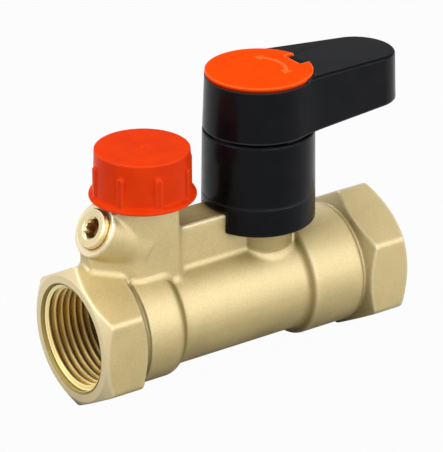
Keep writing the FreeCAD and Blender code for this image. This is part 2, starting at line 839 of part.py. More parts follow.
def spindle_o_ring():
    centre = AXIS_Z * -(spindle_groove_at + o_ring_groove_width / 2)
    ring_r = spindle_groove_floor() + o_ring_room / 2 + cord_r
    return on_boss(Part.makeTorus(ring_r, cord_r, centre))


def spindle_seat_seal():
    bottom = spindle_seat_gap - spindle_seat_depth
    outer = Part.makeCylinder(spindle_plate_d / 2, spindle_seal, AXIS_Z * bottom)
    hole = Part.makeCylinder(spindle_stud_d / 2 + spindle_clearance, spindle_seal, AXIS_Z * bottom)
    return on_boss(outer.cut(hole))


def cap_rib(turn):
    """Grip rib with a round top, standing on the flange of the cap."""
    half = cap_rib_width / 2
    root = cap_inner_r + cap_thread_room
    top = cap_top - cap_rib_drop - half
    rib = block(drain_x + root, drain_x + cap_rib_d / 2, half, cap_bottom + cap_flange, top)
    crown = Part.makeCylinder(half, cap_rib_d / 2 - root, at_drain(root, top), AXIS_X)
    return rib.fuse(crown).rotate(at_drain(0, 0), AXIS_Z, turn)


def drain_cap():
    """Moulded cap: drafted wall, grip ribs, flange with a sloping top and the gate nub."""
    top_r = cap_top_d / 2
    foot_r = cap_foot_d / 2
    flange_r = cap_flange_d / 2
    flange_top = cap_bottom + cap_flange + cap_flange_cone
    outline = Outline(at_drain, (0, cap_bottom))
    outline.line((flange_r, cap_bottom), (flange_r, cap_bottom + cap_flange), (foot_r, flange_top))
    outline.line((top_r, cap_top), (0, cap_top))
    outside = turned(outline, drain_x)
    rim = edges_where(outside, lambda point: near(point.z, cap_top) and not near(point.x, drain_x))
    outside = outside.makeFillet(cap_edge_r, rim)
    pitch_deg = 360 / cap_rib_count
    ribs = [cap_rib(cap_rib_turn_deg + pitch_deg * step) for step in range(cap_rib_count)]
    nub = Part.makeCone(cap_nub_d / 2, cap_nub_top_d / 2, cap_nub, at_drain(0, cap_top))
    solid = outside.multiFuse(ribs + [nub])
    return solid.cut(cylinder(drain_x, cap_inner_r, cap_bottom, cap_inner_top))


def cap_gasket():
    outer = cap_inner_r - gasket_clearance
    return ring(drain_x, outlet_bore_d / 2, outer, outlet_top, cap_inner_top)


def save(name, shape):
    shape.exportStep("parts/" + name + ".step")


def main():
    os.makedirs("parts", exist_ok=True)
    save("valve_body", valve_body())
    save("ball", ball())
    save("seat_ring_front", seat_ring())
    save("seat_ring_rear", rear_seat_ring())
    save("seat_retainer", seat_retainer())
    save("retainer_o_ring", retainer_o_ring())
    save("stem", stem())
    save("stem_thrust_washer", stem_thrust_washer())
    save("stem_o_ring_lower", stem_o_ring(lower_o_ring_z))
    save("stem_o_ring_upper", stem_o_ring(upper_o_ring_z))
    save("neck_sleeve", neck_sleeve())
    save("lever", lever())
    save("cover_disc", cover_disc())
    save("lever_screw", lever_screw())
    save("lever_washer", lever_washer())
    save("drain_spindle", drain_spindle())
    save("spindle_o_ring", spindle_o_ring())
    save("spindle_seat_seal", spindle_seat_seal())
    save("drain_cap", drain_cap())
    save("cap_gasket", cap_gasket())


main()
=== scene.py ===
"""Looks of an isolating ball valve with a built-in drain cock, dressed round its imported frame."""

import logging
import math
from dataclasses import dataclass, fields, replace
from enum import Enum
from typing import Sequence, Union

import bmesh
import bpy
from mathutils import Matrix, Vector


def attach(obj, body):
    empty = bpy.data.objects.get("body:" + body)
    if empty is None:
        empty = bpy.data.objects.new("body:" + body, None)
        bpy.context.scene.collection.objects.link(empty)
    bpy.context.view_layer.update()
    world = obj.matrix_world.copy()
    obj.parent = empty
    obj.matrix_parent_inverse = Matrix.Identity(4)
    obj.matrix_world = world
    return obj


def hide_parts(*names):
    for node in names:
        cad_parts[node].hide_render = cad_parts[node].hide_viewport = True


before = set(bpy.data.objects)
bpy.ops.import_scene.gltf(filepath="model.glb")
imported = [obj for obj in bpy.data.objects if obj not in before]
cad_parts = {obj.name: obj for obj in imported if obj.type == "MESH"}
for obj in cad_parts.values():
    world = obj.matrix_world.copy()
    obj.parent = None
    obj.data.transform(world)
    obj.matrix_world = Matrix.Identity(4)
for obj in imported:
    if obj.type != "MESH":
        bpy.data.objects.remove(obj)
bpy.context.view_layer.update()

LOG = logging.getLogger("isolating_valve")
MM = 0.001
Point = tuple[float, float]
Triple = tuple[float, float, float]
Colour = Triple
Number = Union["Scalar", float]
Socket = bpy.types.NodeSocket

# Turn between a hexagon's flats, slope of its chamfers, a diagonal's share of an axis, voxels in a skin.
HEX_STEP = math.radians(60)
CHAMFER_DEG = 30.0
CHAMFER_SLOPE = math.tan(math.radians(CHAMFER_DEG))
DIAGONAL = math.sqrt(0.5)
SKIN_VOXELS = 4.0


class Body(Enum):
    """Bodies of the frame that pieces ride on."""

    VALVE = "body"
    HANDLE = "handle"
    CAP = "cap"
    SPINDLE = "spindle"


class Slot(Enum):
    """Material slots of the record."""

    BLASTED_BRASS = "blasted_brass"
    TURNED_BRASS = "turned_brass"
    PLATED_BALL = "plated_ball"
    PLATED_STEEL = "plated_steel"
    SEAT_PLASTIC = "seat_plastic"
    SEAL_RUBBER = "seal_rubber"
    BLACK_PLASTIC = "black_plastic"
    ORANGE_PLASTIC = "orange_plastic"
    RED_PLASTIC = "red_plastic"


class ThreadSide(Enum):
    """Side of a wall that a thread stands on."""

    INSIDE = -1.0
    OUTSIDE = 1.0


class Scalar:
    """A number at every point of a geometry or of a shader, with the usual arithmetic."""

    def __init__(self, tree: bpy.types.NodeTree, socket: Socket) -> None:
        """Holds a socket of a tree."""
        self.tree = tree
        self.socket = socket

    def math(self, operation: str, *others: Number, clamp: bool = False) -> "Scalar":
        """Adds a Math node that starts from this number.

        Args:
            operation: Operation of the node.
            others: Its other inputs.
            clamp: Whether the result stays between 0 and 1.

        Returns:
            The node's result.
        """
        node = self.tree.nodes.new("ShaderNodeMath")
        node.operation = operation
        node.use_clamp = clamp
        for slot, value in zip(node.inputs, (self, *others)):
            if isinstance(value, Scalar):
                self.tree.links.new(value.socket, slot)
            else:
                slot.default_value = value
        return Scalar(self.tree, node.outputs["Value"])

    def __add__(self, other: Number) -> "Scalar":
        """Sum."""
        return self.math("ADD", other)

    def __sub__(self, other: Number) -> "Scalar":
        """Difference."""
        return self.math("SUBTRACT", other)

    def __rsub__(self, other: float) -> "Scalar":
        """Difference from a plain number."""
        return self.math("MULTIPLY_ADD", -1.0, other)

    def __mul__(self, other: Number) -> "Scalar":
        """Product."""
        return self.math("MULTIPLY", other)

    def __truediv__(self, other: Number) -> "Scalar":
        """Quotient."""
        return self.math("DIVIDE", other)

    def __neg__(self) -> "Scalar":
        """Opposite."""
        return self.math("MULTIPLY", -1.0)

    def __abs__(self) -> "Scalar":
        """Size without sign."""
        return self.math("ABSOLUTE")

    def over(self, limit: float) -> "Scalar":
        """1 where the number is over a limit, else 0."""
        return self.math("GREATER_THAN", limit)

    def under(self, limit: float) -> "Scalar":
        """1 where the number is under a limit, else 0."""
        return self.math("LESS_THAN", limit)


def lesser(first: Scalar, *others: Number) -> Scalar:
    """Smallest of some numbers: the union of solids.

    Args:
        first: The first number.
        others: The others.

    Returns:
        The smallest.
    """
    for other in others:
        first = first.math("MINIMUM", other)
    return first


def greater(first: Scalar, *others: Number) -> Scalar:
    """Largest of some numbers: the common part of solids.

    Args:
        first: The first number.
        others: The others.

    Returns:
        The largest.
    """
    for other in others:
        first = first.math("MAXIMUM", other)
    return first


def reach(a: Scalar, b: Scalar) -> Scalar:
    """Length of the vector with these two parts."""
    return (a * a + b * b).math("SQRT")


def meet(a: Scalar, b: Scalar, radius: Number) -> Scalar:
    """Common part of two solids, its edge rounded.

    Args:
        a: Distance to the first solid.
        b: Distance to the second solid.
        radius: Radius of the rounded edge.

    Returns:
        Distance to the common part.
    """
    corner = reach(greater(a + radius, 0.0), greater(b + radius, 0.0))
    return lesser(greater(a, b) + radius, 0.0) + corner - radius


def join(a: Scalar, b: Scalar, radius: Number) -> Scalar:
    """Distance to the union of two solids with a fillet between them."""
    return -meet(-a, -b, radius)


def end_depth(x: Scalar, length: Number) -> Scalar:
    """Distance from the nearer end of the pipe."""
    return length * 0.5 - abs(x - length * 0.5)


@dataclass(frozen=True)
class Spot:
    """Place of a point along and across the pipe, its height and its distance from an axis."""

    x: Scalar
    y: Scalar
    z: Scalar
    r: Scalar


class Shader:
    """Node material with object coordinates, a Principled shader and helpers for its inputs."""

    NOISE_RUN = (0.3, 0.7)
    EDGE_RUN = (0.72, 0.97)
    BEVEL_SAMPLES = 6
    OPEN_SAMPLES = 8

    def __init__(self, name: str) -> None:
        """Makes the material with its shader and output.

        Args:
            name: Name of the material.
        """
        self.material = bpy.data.materials.new(name)
        self.material.use_nodes = True
        self.nodes = self.material.node_tree.nodes
        self.links = self.material.node_tree.links
        self.nodes.clear()
        self.surface = self.nodes.new("ShaderNodeBsdfPrincipled")
        output = self.nodes.new("ShaderNodeOutputMaterial")
        self.links.new(self.surface.outputs["BSDF"], output.inputs["Surface"])
        self.place = self.nodes.new("ShaderNodeTexCoord").outputs["Object"]

    def noise(self, scale: float, detail: float, stretch: Triple = (1.0, 1.0, 1.0)) -> Socket:
        """Noise over the object.

        Args:
            scale: Spots per metre.
            detail: Octaves of finer noise.
            stretch: Share of the scale along each axis.

        Returns:
            The noise's value socket.
        """
        mapping = self.nodes.new("ShaderNodeMapping")
        mapping.inputs["Scale"].default_value = stretch
        self.links.new(self.place, mapping.inputs["Vector"])
        node = self.nodes.new("ShaderNodeTexNoise")
        node.inputs["Scale"].default_value = scale
        node.inputs["Detail"].default_value = detail
        self.links.new(mapping.outputs["Vector"], node.inputs["Vector"])
        return node.outputs["Fac"]

    def mix(self, share: Socket, colour: Socket, other: Colour) -> Socket:
        """Mixes a colour with a fixed one.

        Args:
            share: Socket with the share of the fixed colour.
            colour: Colour where the share is 0.
            other: Colour where the share is 1.

        Returns:
            The colour socket.
        """
        node = self.nodes.new("ShaderNodeMix")
        node.data_type = "RGBA"
        node.inputs["B"].default_value = (*other, 1.0)
        self.links.new(share, node.inputs["Factor"])
        self.links.new(colour, node.inputs["A"])
        return node.outputs["Result"]

    def ramp(self, value: Socket, run: Point, colours: tuple[Colour, Colour]) -> Socket:
        """Runs from one colour to another along a value.

        Args:
            value: Socket that drives the ramp.
            run: Values where the change starts and ends.
            colours: Colours before and after it.

        Returns:
            The colour socket.
        """
        node = self.nodes.new("ShaderNodeValToRGB")
        for element, place, colour in zip(node.color_ramp.elements, run, colours):
            element.position = place
            element.color = (*colour, 1.0)
        self.links.new(value, node.inputs["Fac"])
        return node.outputs["Color"]

    def spread(self, value: Socket, low: float, high: float) -> Socket:
        """Maps the usual run of a noise to a range.

        Args:
            value: Socket to map.
            low: Result at the start of the run.
            high: Result at its end.

        Returns:
            The mapped socket.
        """
        node = self.nodes.new("ShaderNodeMapRange")
        ends = ("From Min", "From Max", "To Min", "To Max")
        for end, number in zip(ends, (*self.NOISE_RUN, low, high)):
            node.inputs[end].default_value = number
        self.links.new(value, node.inputs["Value"])
        return node.outputs["Result"]

    def relief(self, height: Socket, strength: float, distance: float, round_r: float) -> None:
        """Gives the surface fine relief and softened edges.

        Args:
            height: Socket with the relief's height.
            strength: Strength of the relief.
            distance: Depth of the relief in metres.
            round_r: Radius of the softened edges in metres.
        """
        bump = self.nodes.new("ShaderNodeBump")
        bump.inputs["Strength"].default_value = strength
        bump.inputs["Distance"].default_value = distance
        self.links.new(height, bump.inputs["Height"])
        if round_r > 0:
            bevel = self.nodes.new("ShaderNodeBevel")
            bevel.samples = self.BEVEL_SAMPLES
            bevel.inputs["Radius"].default_value = round_r
            self.links.new(bevel.outputs["Normal"], bump.inputs["Normal"])
        for name in ("Normal", "Coat Normal"):
            self.links.new(bump.outputs["Normal"], self.surface.inputs[name])

    def occlusion(self, distance: float, inside: bool = False) -> Socket:
        """How open the surface is: less than 1 in hollows or, looked at from inside, at edges.

        Args:
            distance: How far other surfaces count, in metres.
            inside: Whether to look into the solid.

        Returns:
            The value socket.
        """
        node = self.nodes.new("ShaderNodeAmbientOcclusion")
        node.samples = self.OPEN_SAMPLES
        node.inside = inside
        node.only_local = inside
        node.inputs["Distance"].default_value = distance
        return node.outputs["AO"]

    def wear_and_highlight(self, colour: Socket, edge: Colour, share: float, distance: float) -> Socket:
        """Lightens the colour along edges: a painted highlight, which on brass stands for wear too.

        Args:
            colour: Colour away from the edges.
            edge: Colour of the edges.
            share: Share of that colour right at an edge.
            distance: Width of the edges in metres.

        Returns:
            The colour socket.
        """
        shares = ((share, share, share), (0.0, 0.0, 0.0))
        near_edge = self.ramp(self.occlusion(distance, inside=True), self.EDGE_RUN, shares)
        return self.mix(near_edge, colour, edge)

    def level(self) -> Socket:
        """How far the surface faces up.

        Returns:
            The value socket: 0 for walls, 1 for tops.
        """
        facing = self.nodes.new("ShaderNodeNewGeometry")
        parts = self.nodes.new("ShaderNodeSeparateXYZ")
        self.links.new(facing.outputs["Normal"], parts.inputs["Vector"])
        return parts.outputs["Z"]

    def feed(self, socket: Socket, name: str) -> None:
        """Links a socket to a named input of the shader."""
        self.links.new(socket, self.surface.inputs[name])

    def keep(self, name: str, value: float) -> None:
        """Sets an input of the shader that is the same all over."""
        self.surface.inputs[name].default_value = value


@dataclass(frozen=True)
class ForgingSizes:
    """Sizes of the forged body, in millimetres, in the frame of the part."""

    length: float = 113.0104
    across_flats: float = 41.0
    face_r: float = 19.85
    hex_foot: float = 15.662
    core_start: float = 4.0
    groove_r: float = 18.725
    groove_width: float = 0.9
    groove_run: float = 1.0
    collar_r: float = 19.25
    barrel_r: float = 17.0
    near_collar_end: float = 31.36
    near_crown: float = 4.3
    near_edge: float = 0.7
    near_fillet: float = 0.7
    far_collar_start: float = 77.9
    far_edge: float = 1.0
    far_sweep: float = 2.8
    drain_x: float = 26.5
    stem_x: float = 69.0
    tower_half: float = 8.8
    tower_front: float = 19.4
    tower_back: float = 34.9
    tower_top: float = 40.8
    tower_corner: float = 2.2
    tower_edge: float = 0.3
    web_edge: float = 0.4
    nose_x: float = 5.6
    nose_half: float = 3.4
    nose_run: float = 12.6
    nose_edge: float = 0.5
    rib_half: float = 6.2
    rib_top: float = 30.0
    rib_edge: float = 0.9
    rib_fillet: float = 2.6
    neck_r: float = 10.6
    neck_top: float = 36.0
    neck_edge: float = 0.8
    boss_x: float = 9.1
    boss_z: float = 34.2
    boss_r: float = 8.65
    boss_proud: float = 0.3
    boss_edge: float = 0.3
    boss_fillet: float = 0.6
    facing_r: float = 17.15
    boss_length: float = 16.0
    boss_draft: float = 0.031
    outlet_r: float = 12.05
    outlet_top: float = 52.2
    outlet_edge: float = 0.8
    outlet_root: float = 2.0
    port_r: float = 16.625
    port_depth: float = 18.0
    mouth_r: float = 17.325
    mouth_depth: float = 2.0
    main_r: float = 11.5
    chamber_r: float = 14.7
    chamber_start: float = 54.19
    chamber_run: float = 1.0
    far_port_start: float = 95.01
    stem_bore_r: float = 6.4
    spindle_mouth_r: float = 7.3
    spindle_mouth_depth: float = 2.0
    spindle_bore_r: float = 6.25
    spindle_guide: float = 13.0
    spindle_chamber_r: float = 5.6
    spindle_chamber_depth: float = 24.0
    drain_way_r: float = 2.6
    drain_way_depth: float = 49.0
    outlet_bore_r: float = 7.5
    outlet_bore_floor: float = 25.0
    foot_fillet: float = 1.5
    corner_round: float = 1.1
    edge_round: float = 0.25
    bore_edge: float = 0.12


@dataclass(frozen=True)
class BrassFinish:
    """Brass with a grain, lighter on its edges from wear and a painted highlight, and with painted shade in
    creases, with lengths in metres.
    """

    name: str
    shade: Colour
    tone: Colour
    # Colour of a painted highlight on edges, which on brass stands for wear too.
    edge: Colour
    # Colour of painted shade in hollows.
    crease_shade: Colour
    roughness: tuple[float, float]
    metallic: float
    edge_share: float
    crease_reach: float
    crease_ramp: tuple[float, float]
    edge_reach: float = 0.0012
    grain: float = 2600.0
    grain_depth: float = 0.00001
    grain_strength: float = 0.5
    cloud: float = 90.0
    cloud_share: float = 0.35
    tone_ramp: tuple[float, float] = (0.34, 0.62)
    ior: float = 1.45
    coat_roughness: float = 0.4
    coat_ior: float = 1.8

    def material(self) -> bpy.types.Material:
        """Builds the node material.

        Returns:
            The material.
        """
        shader = Shader(self.name)
        grain = shader.noise(self.grain, detail=2.0)
        cloud = shader.noise(self.cloud, detail=3.0)
        blend = shader.nodes.new("ShaderNodeMix")
        blend.data_type = "FLOAT"
        blend.inputs["Factor"].default_value = self.cloud_share
        shader.links.new(grain, blend.inputs["A"])
        shader.links.new(cloud, blend.inputs["B"])
        tones = shader.ramp(blend.outputs["Result"], self.tone_ramp, (self.shade, self.tone))
        # Painted highlight on edges, which on brass stands for wear too.
        wear_and_highlight = shader.wear_and_highlight(tones, self.edge, self.edge_share, self.edge_reach)
        colour, coat = self.worked(shader, wear_and_highlight)
        # Base colour with painted shade in hollows.
        shader.feed(self.painted_crease_shade(shader, colour), "Base Color")
        shader.feed(shader.spread(cloud, *self.roughness), "Roughness")
        shader.keep("Metallic", self.metallic)
        shader.keep("IOR", self.ior)
        shader.keep("Coat Roughness", self.coat_roughness)
        shader.keep("Coat IOR", self.coat_ior)
        if coat is not None:
            shader.feed(coat, "Coat Weight")
        shader.relief(grain, self.grain_strength, self.grain_depth, 0.0)
        return shader.material

    def worked(self, shader: Shader, colour: Socket) -> tuple[Socket, Socket | None]:
        """Colour and coat after machining, which leaves plain brass as it is."""
        return colour, None

    def painted_crease_shade(self, shader: Shader, colour: Socket) -> Socket:
        """Darkens the colour in hollows: painted shade.

        Args:
            shader: The shader that is built.
            colour: Colour in the open.

        Returns:
            The colour socket.
        """
        open_share = shader.occlusion(self.crease_reach)
        depth = shader.ramp(open_share, self.crease_ramp, (self.crease_shade, (1.0, 1.0, 1.0)))
        node = shader.nodes.new("ShaderNodeMix")
        node.data_type = "RGBA"
        node.blend_type = "MULTIPLY"
        node.inputs["Factor"].default_value = 1.0
        shader.links.new(colour, node.inputs["A"])
        shader.links.new(depth, node.inputs["B"])
        return node.outputs["Result"]


@dataclass(frozen=True)
class ShadedStep:
    """Stretch of the pipe whose step gets painted shade, beside what stands on the barrel, in millimetres."""

    start: float
    end: float
    clear: float
    share: float


@dataclass(frozen=True)
class ForgedFinish(BrassFinish):
    """Blasted brass with machined faces and with painted shade in the ports, on the top of the rib, on the
    steps, in the grooves and on the neck, with its places in millimetres.
    """

    forging: ForgingSizes = ForgingSizes()
    bright: Colour = (0.70, 0.56, 0.29)
    faced: Colour = (0.74, 0.59, 0.30)
    # Colour of painted shade inside the ports.
    tapped: Colour = (0.34, 0.25, 0.06)
    # Colour of painted shade and painted reflection of the black sleeve on the top of the rib.
    rib_top_shade: Colour = (0.24, 0.165, 0.055)
    # Colour of painted shade on the steps by the collars, in the near groove, on the backs of the hexagons
    # and on the neck.
    painted_shade_colour: Colour = (0.22, 0.16, 0.03)
    coat: float = 1.0
    skin: float = 0.2
    cone_skin: float = 0.22
    cone_depth: float = 2.8
    port_wall_r: float = 17.5
    port_end: float = 19.5
    rib_flat_half: float = 5.3
    streak: float = 2500.0
    streak_stretch: Triple = (0.06, 1.0, 1.0)
    streak_share: tuple[float, float] = (0.45, 0.8)
    # Where and how strong the painted shade on the steps is.
    near_step: ShadedStep = ShadedStep(start=26.8, end=31.8, clear=10.2, share=1.25)
    far_step: ShadedStep = ShadedStep(start=74.8, end=79.5, clear=8.5, share=0.65)
    step_limit: float = 0.85
    groove_run: float = 1.4
    groove_margins: tuple[float, float] = (0.4, 0.1)
    groove_share: float = 0.62
    web_half: float = 9.5
    back_share: float = 0.25
    neck_r: float = 10.8
    neck_foot: float = 14.8
    neck_share: float = 0.5

    def worked(self, shader: Shader, colour: Socket) -> tuple[Socket, Socket | None]:
        """Colour and coat with the machined port faces, and painted shade in the ports, on the top of the
        rib, on the steps, in the grooves and on the neck, where the coat is taken away too.

        Args:
            shader: The shader that is built.
            colour: Colour of the blasted surface.

        Returns:
            The sockets of the colour and of the coat.
        """
        tree = shader.material.node_tree
        parts = shader.nodes.new("ShaderNodeSeparateXYZ")
        shader.links.new(shader.place, parts.inputs["Vector"])
        x, y, z = (Scalar(tree, parts.outputs[axis]) / MM for axis in "XYZ")
        at = Spot(x, y, z, reach(y, z))
        depth = end_depth(x, self.forging.length)
        # Painted shade inside the ports.
        shaded_port = at.r.under(self.port_wall_r) * depth.under(self.port_end)
        machined = self.machined(shader, colour, at, depth)
        machined = shader.mix(shaded_port.socket, machined, self.tapped)
        # Painted shade and painted reflection of the black sleeve, with streaks, on the top of the rib.
        on_rib = abs(z - self.forging.rib_top).under(self.skin) * abs(y).under(self.rib_flat_half)
        least, spread = self.streak_share
        streaks = Scalar(tree, shader.noise(self.streak, detail=3.0, stretch=self.streak_stretch))
        share = on_rib * (streaks * spread + least)
        rib_top_shade = shader.mix(share.math("MINIMUM", 1.0).socket, machined, self.rib_top_shade)
        # Painted shade on the neck under the sleeve, on the steps, in the groove and on the backs of the
        # hexagons.
        neck = reach(x - self.forging.stem_x, y).under(self.neck_r) * z.over(self.neck_foot)
        painted_shade_share = greater(self.steps(at), *self.grooves(at, depth), neck * self.neck_share)
        # No coat where shade is painted, so no highlight there.
        coat = (1.0 - greater(painted_shade_share, on_rib, shaded_port)) * self.coat
        return shader.mix(painted_shade_share.socket, rib_top_shade, self.painted_shade_colour), coat.socket

    def machined(self, shader: Shader, colour: Socket, at: Spot, depth: Scalar) -> Socket:
        """Colour with the machined cones and faces of the hexagons.

        Args:
            shader: The shader that is built.
            colour: Colour of the blasted surface.
            at: Place of the point.
            depth: Distance from the nearer face.

        Returns:
            The colour socket.
        """
        cone = abs((at.r - self.forging.face_r) * CHAMFER_SLOPE - depth)
        on_cone = cone.under(self.cone_skin) * depth.under(self.cone_depth)
        coned = shader.mix(on_cone.socket, colour, self.bright)
        return shader.mix(depth.under(self.skin).socket, coned, self.faced)

    def steps(self, at: Spot) -> Scalar:
        """Share of the painted shade on the slopes between the barrel and its collars.

        Args:
            at: Place of the point.

        Returns:
            The share.
        """
        part = (at.r - self.forging.barrel_r) / (self.forging.collar_r - self.forging.barrel_r)
        slope = greater(part * (1.0 - part) * 4.0, 0.0)
        shares = [
            at.x.over(step.start) * at.x.under(step.end) * self.beside(at, step.clear) * step.share
            for step in (self.near_step, self.far_step)
        ]
        return (slope * greater(*shares)).math("MINIMUM", self.step_limit)

    def grooves(self, at: Spot, depth: Scalar) -> tuple[Scalar, Scalar]:
        """Shares of the painted shade in the near groove and on the backs of the hexagons.

        Args:
            at: Place of the point.
            depth: Distance from the nearer face.

        Returns:
            The shares in the groove and on the backs.
        """
        size, r = self.forging, at.r
        below, short = self.groove_margins
        along = depth.over(size.hex_foot) * depth.under(size.hex_foot + self.groove_run)
        groove = along * r.over(size.groove_r - below) * r.under(size.collar_r - short)
        groove = groove * at.x.under(size.length / 2)
        back = abs((r - size.groove_r) * CHAMFER_SLOPE - size.hex_foot + depth).under(self.skin)
        back = back * r.over(size.groove_r) * self.beside(at, self.web_half)
        return groove * self.groove_share, back * self.back_share

    @staticmethod
    def beside(at: Spot, clear: float) -> Scalar:
        """1 beside and below what stands on the barrel, else 0."""
        return greater(abs(at.y) - clear, -at.z).over(0.0)


@dataclass(frozen=True)
class MouldedFinish:
    """Moulded plastic or rubber with a faint texture, a painted highlight on its edges and weaker reflections
    on its tops, a painted shade.
    """

    name: str
    shade: Colour
    tone: Colour
    # Colour of a painted highlight on the edges.
    edge: Colour
    roughness: tuple[float, float]
    wall_ior: float
    top_ior: float
    edge_share: float = 0.7
    edge_reach: float = 0.0006
    edge_round: float = 0.00025
    texture: float = 1800.0
    texture_depth: float = 0.00001
    texture_strength: float = 0.35
    cloud: float = 140.0

    def material(self) -> bpy.types.Material:
        """Builds the node material.

        Returns:
            The material.
        """
        shader = Shader(self.name)
        texture = shader.noise(self.texture, detail=2.0)
        cloud = shader.noise(self.cloud, detail=2.0)
        tones = shader.ramp(cloud, shader.NOISE_RUN, (self.shade, self.tone))
        # Painted highlight on the edges.
        shader.feed(shader.wear_and_highlight(tones, self.edge, self.edge_share, self.edge_reach), "Base Color")
        shader.feed(shader.spread(cloud, *self.roughness), "Roughness")
        # Reflections weaker on tops than on walls: painted shade on the tops.
        shader.feed(shader.spread(shader.level(), self.wall_ior, self.top_ior), "IOR")
        shader.relief(texture, self.texture_strength, self.texture_depth, self.edge_round)
        return shader.material


@dataclass(frozen=True)
class PlatedFinish:
    """Bright plated metal with faint marks."""

    name: str
    shade: Colour
    tone: Colour
    roughness: tuple[float, float]
    cloud: float = 220.0

    def material(self) -> bpy.types.Material:
        """Builds the node material.

        Returns:
            The material.
        """
        shader = Shader(self.name)
        cloud = shader.noise(self.cloud, detail=4.0)
        tones = shader.ramp(cloud, shader.NOISE_RUN, (self.shade, self.tone))
        shader.feed(tones, "Base Color")
        shader.feed(shader.spread(cloud, *self.roughness), "Roughness")
        shader.keep("Metallic", 1.0)
        return shader.material


# Edge colours below are a painted highlight, on brass partly wear too; crease colours are painted shade in
# hollows, darkest in the spindle's hex socket.
BLASTED_BRASS = ForgedFinish(
    name="blasted_brass",
    shade=(0.46, 0.345, 0.115),
    tone=(0.625, 0.485, 0.195),
    edge=(0.94, 0.86, 0.66),
    crease_shade=(0.25, 0.19, 0.045),
    roughness=(0.50, 0.60),
    metallic=0.45,
    edge_share=0.7,
    crease_reach=0.004,
    crease_ramp=(0.42, 0.92),
    grain=3600.0,
    grain_depth=0.00012,
)
TURNED_BRASS = BrassFinish(
    name="turned_brass",
    shade=(0.70, 0.56, 0.30),
    tone=(0.81, 0.68, 0.41),
    edge=(0.94, 0.85, 0.62),
    crease_shade=(0.24, 0.11, 0.006),
    roughness=(0.22, 0.32),
    metallic=0.85,
    edge_share=0.4,
    crease_reach=0.008,
    crease_ramp=(0.28, 0.46),
)
FACED_BRASS = replace(
    TURNED_BRASS, name="faced_brass", crease_shade=(0.66, 0.50, 0.22), crease_reach=0.002, crease_ramp=(0.10, 0.60)
)
# Threads in the ports: a lighter copy of turned brass that stands in for light on them, with painted
# highlights on the crests and painted shade in the troughs.
TAPPED_BRASS = BrassFinish(
    name="tapped_brass",
    shade=(0.86, 0.62, 0.15),
    tone=(0.95, 0.74, 0.25),
    edge=(0.99, 0.88, 0.52),
    crease_shade=(0.46, 0.26, 0.025),
    roughness=(0.30, 0.40),
    metallic=0.92,
    edge_share=0.9,
    edge_reach=0.0007,
    crease_reach=0.002,
    crease_ramp=(0.28, 0.58),
)
PLATED_BALL = PlatedFinish(
    name="plated_ball", shade=(0.66, 0.67, 0.69), tone=(0.80, 0.81, 0.82), roughness=(0.08, 0.16)
)
PLATED_STEEL = PlatedFinish(
    name="plated_steel", shade=(0.48, 0.49, 0.52), tone=(0.66, 0.67, 0.69), roughness=(0.25, 0.40)
)
SEAT_PLASTIC = MouldedFinish(
    name="seat_plastic",
    shade=(0.72, 0.72, 0.69),
    tone=(0.82, 0.82, 0.80),
    edge=(0.88, 0.88, 0.86),
    roughness=(0.45, 0.55),
    wall_ior=1.35,
    top_ior=1.35,
)
SEAL_RUBBER = MouldedFinish(
    name="seal_rubber",
    shade=(0.010, 0.010, 0.010),
    tone=(0.020, 0.020, 0.020),
    edge=(0.03, 0.03, 0.03),
    roughness=(0.60, 0.75),
    wall_ior=1.3,
    top_ior=1.3,
)
BLACK_PLASTIC = MouldedFinish(
    name="black_plastic",
    shade=(0.0024, 0.0027, 0.0038),
    tone=(0.0038, 0.0042, 0.0056),
    edge=(0.045, 0.047, 0.055),
    roughness=(0.20, 0.28),
    wall_ior=1.20,
    top_ior=1.07,
)
ORANGE_PLASTIC = MouldedFinish(
    name="orange_plastic",
    shade=(0.95, 0.064, 0.001),
    tone=(1.0, 0.073, 0.002),
    edge=(1.0, 0.23, 0.06),
    roughness=(0.30, 0.38),
    wall_ior=1.08,
    top_ior=1.03,
)
RED_PLASTIC = MouldedFinish(
    name="red_plastic",
    shade=(0.74, 0.038, 0.002),
    tone=(0.81, 0.047, 0.003),
    edge=(0.95, 0.10, 0.03),
    roughness=(0.30, 0.40),
    wall_ior=1.18,
    top_ior=1.05,
)
SIGN_ORANGE = MouldedFinish(
    name="sign_orange",
    shade=(1.0, 0.145, 0.02),
    tone=(1.0, 0.16, 0.028),
    edge=(1.0, 0.16, 0.028),
    roughness=(0.35, 0.45),
    wall_ior=1.04,
    top_ior=1.03,
    edge_round=0.0,
)


class Finishes:
    """All materials: one for each slot of the record, and three for threads, a machined face and the sign."""

    def __init__(self) -> None:
        """Builds the materials."""
        self.by_slot = {
            Slot.BLASTED_BRASS: BLASTED_BRASS.material(),
            Slot.TURNED_BRASS: TURNED_BRASS.material(),
            Slot.PLATED_BALL: PLATED_BALL.material(),
            Slot.PLATED_STEEL: PLATED_STEEL.material(),
            Slot.SEAT_PLASTIC: SEAT_PLASTIC.material(),
            Slot.SEAL_RUBBER: SEAL_RUBBER.material(),
            Slot.BLACK_PLASTIC: BLACK_PLASTIC.material(),
            Slot.ORANGE_PLASTIC: ORANGE_PLASTIC.material(),
            Slot.RED_PLASTIC: RED_PLASTIC.material(),
        }
        self.tapped = TAPPED_BRASS.material()
        self.faced = FACED_BRASS.material()
        self.sign = SIGN_ORANGE.material()

    def dress(self, piece: bpy.types.Object, slot: Slot) -> None:
        """Gives a piece the material of a slot and names the slot.

        Args:
            piece: The piece to dress.
            slot: Slot of the record.
        """
        piece.data.materials.clear()
        piece.data.materials.append(self.by_slot[slot])

    def dress_nodes(self, slots: dict[str, Slot]) -> None:
        """Dresses frame nodes that are shown as they are, and reports each.

        Args:
            slots: Slot of each node.
        """
        for node, slot in slots.items():
            self.dress(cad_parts[node], slot)
            LOG.info("%s: %s", node, slot.value)


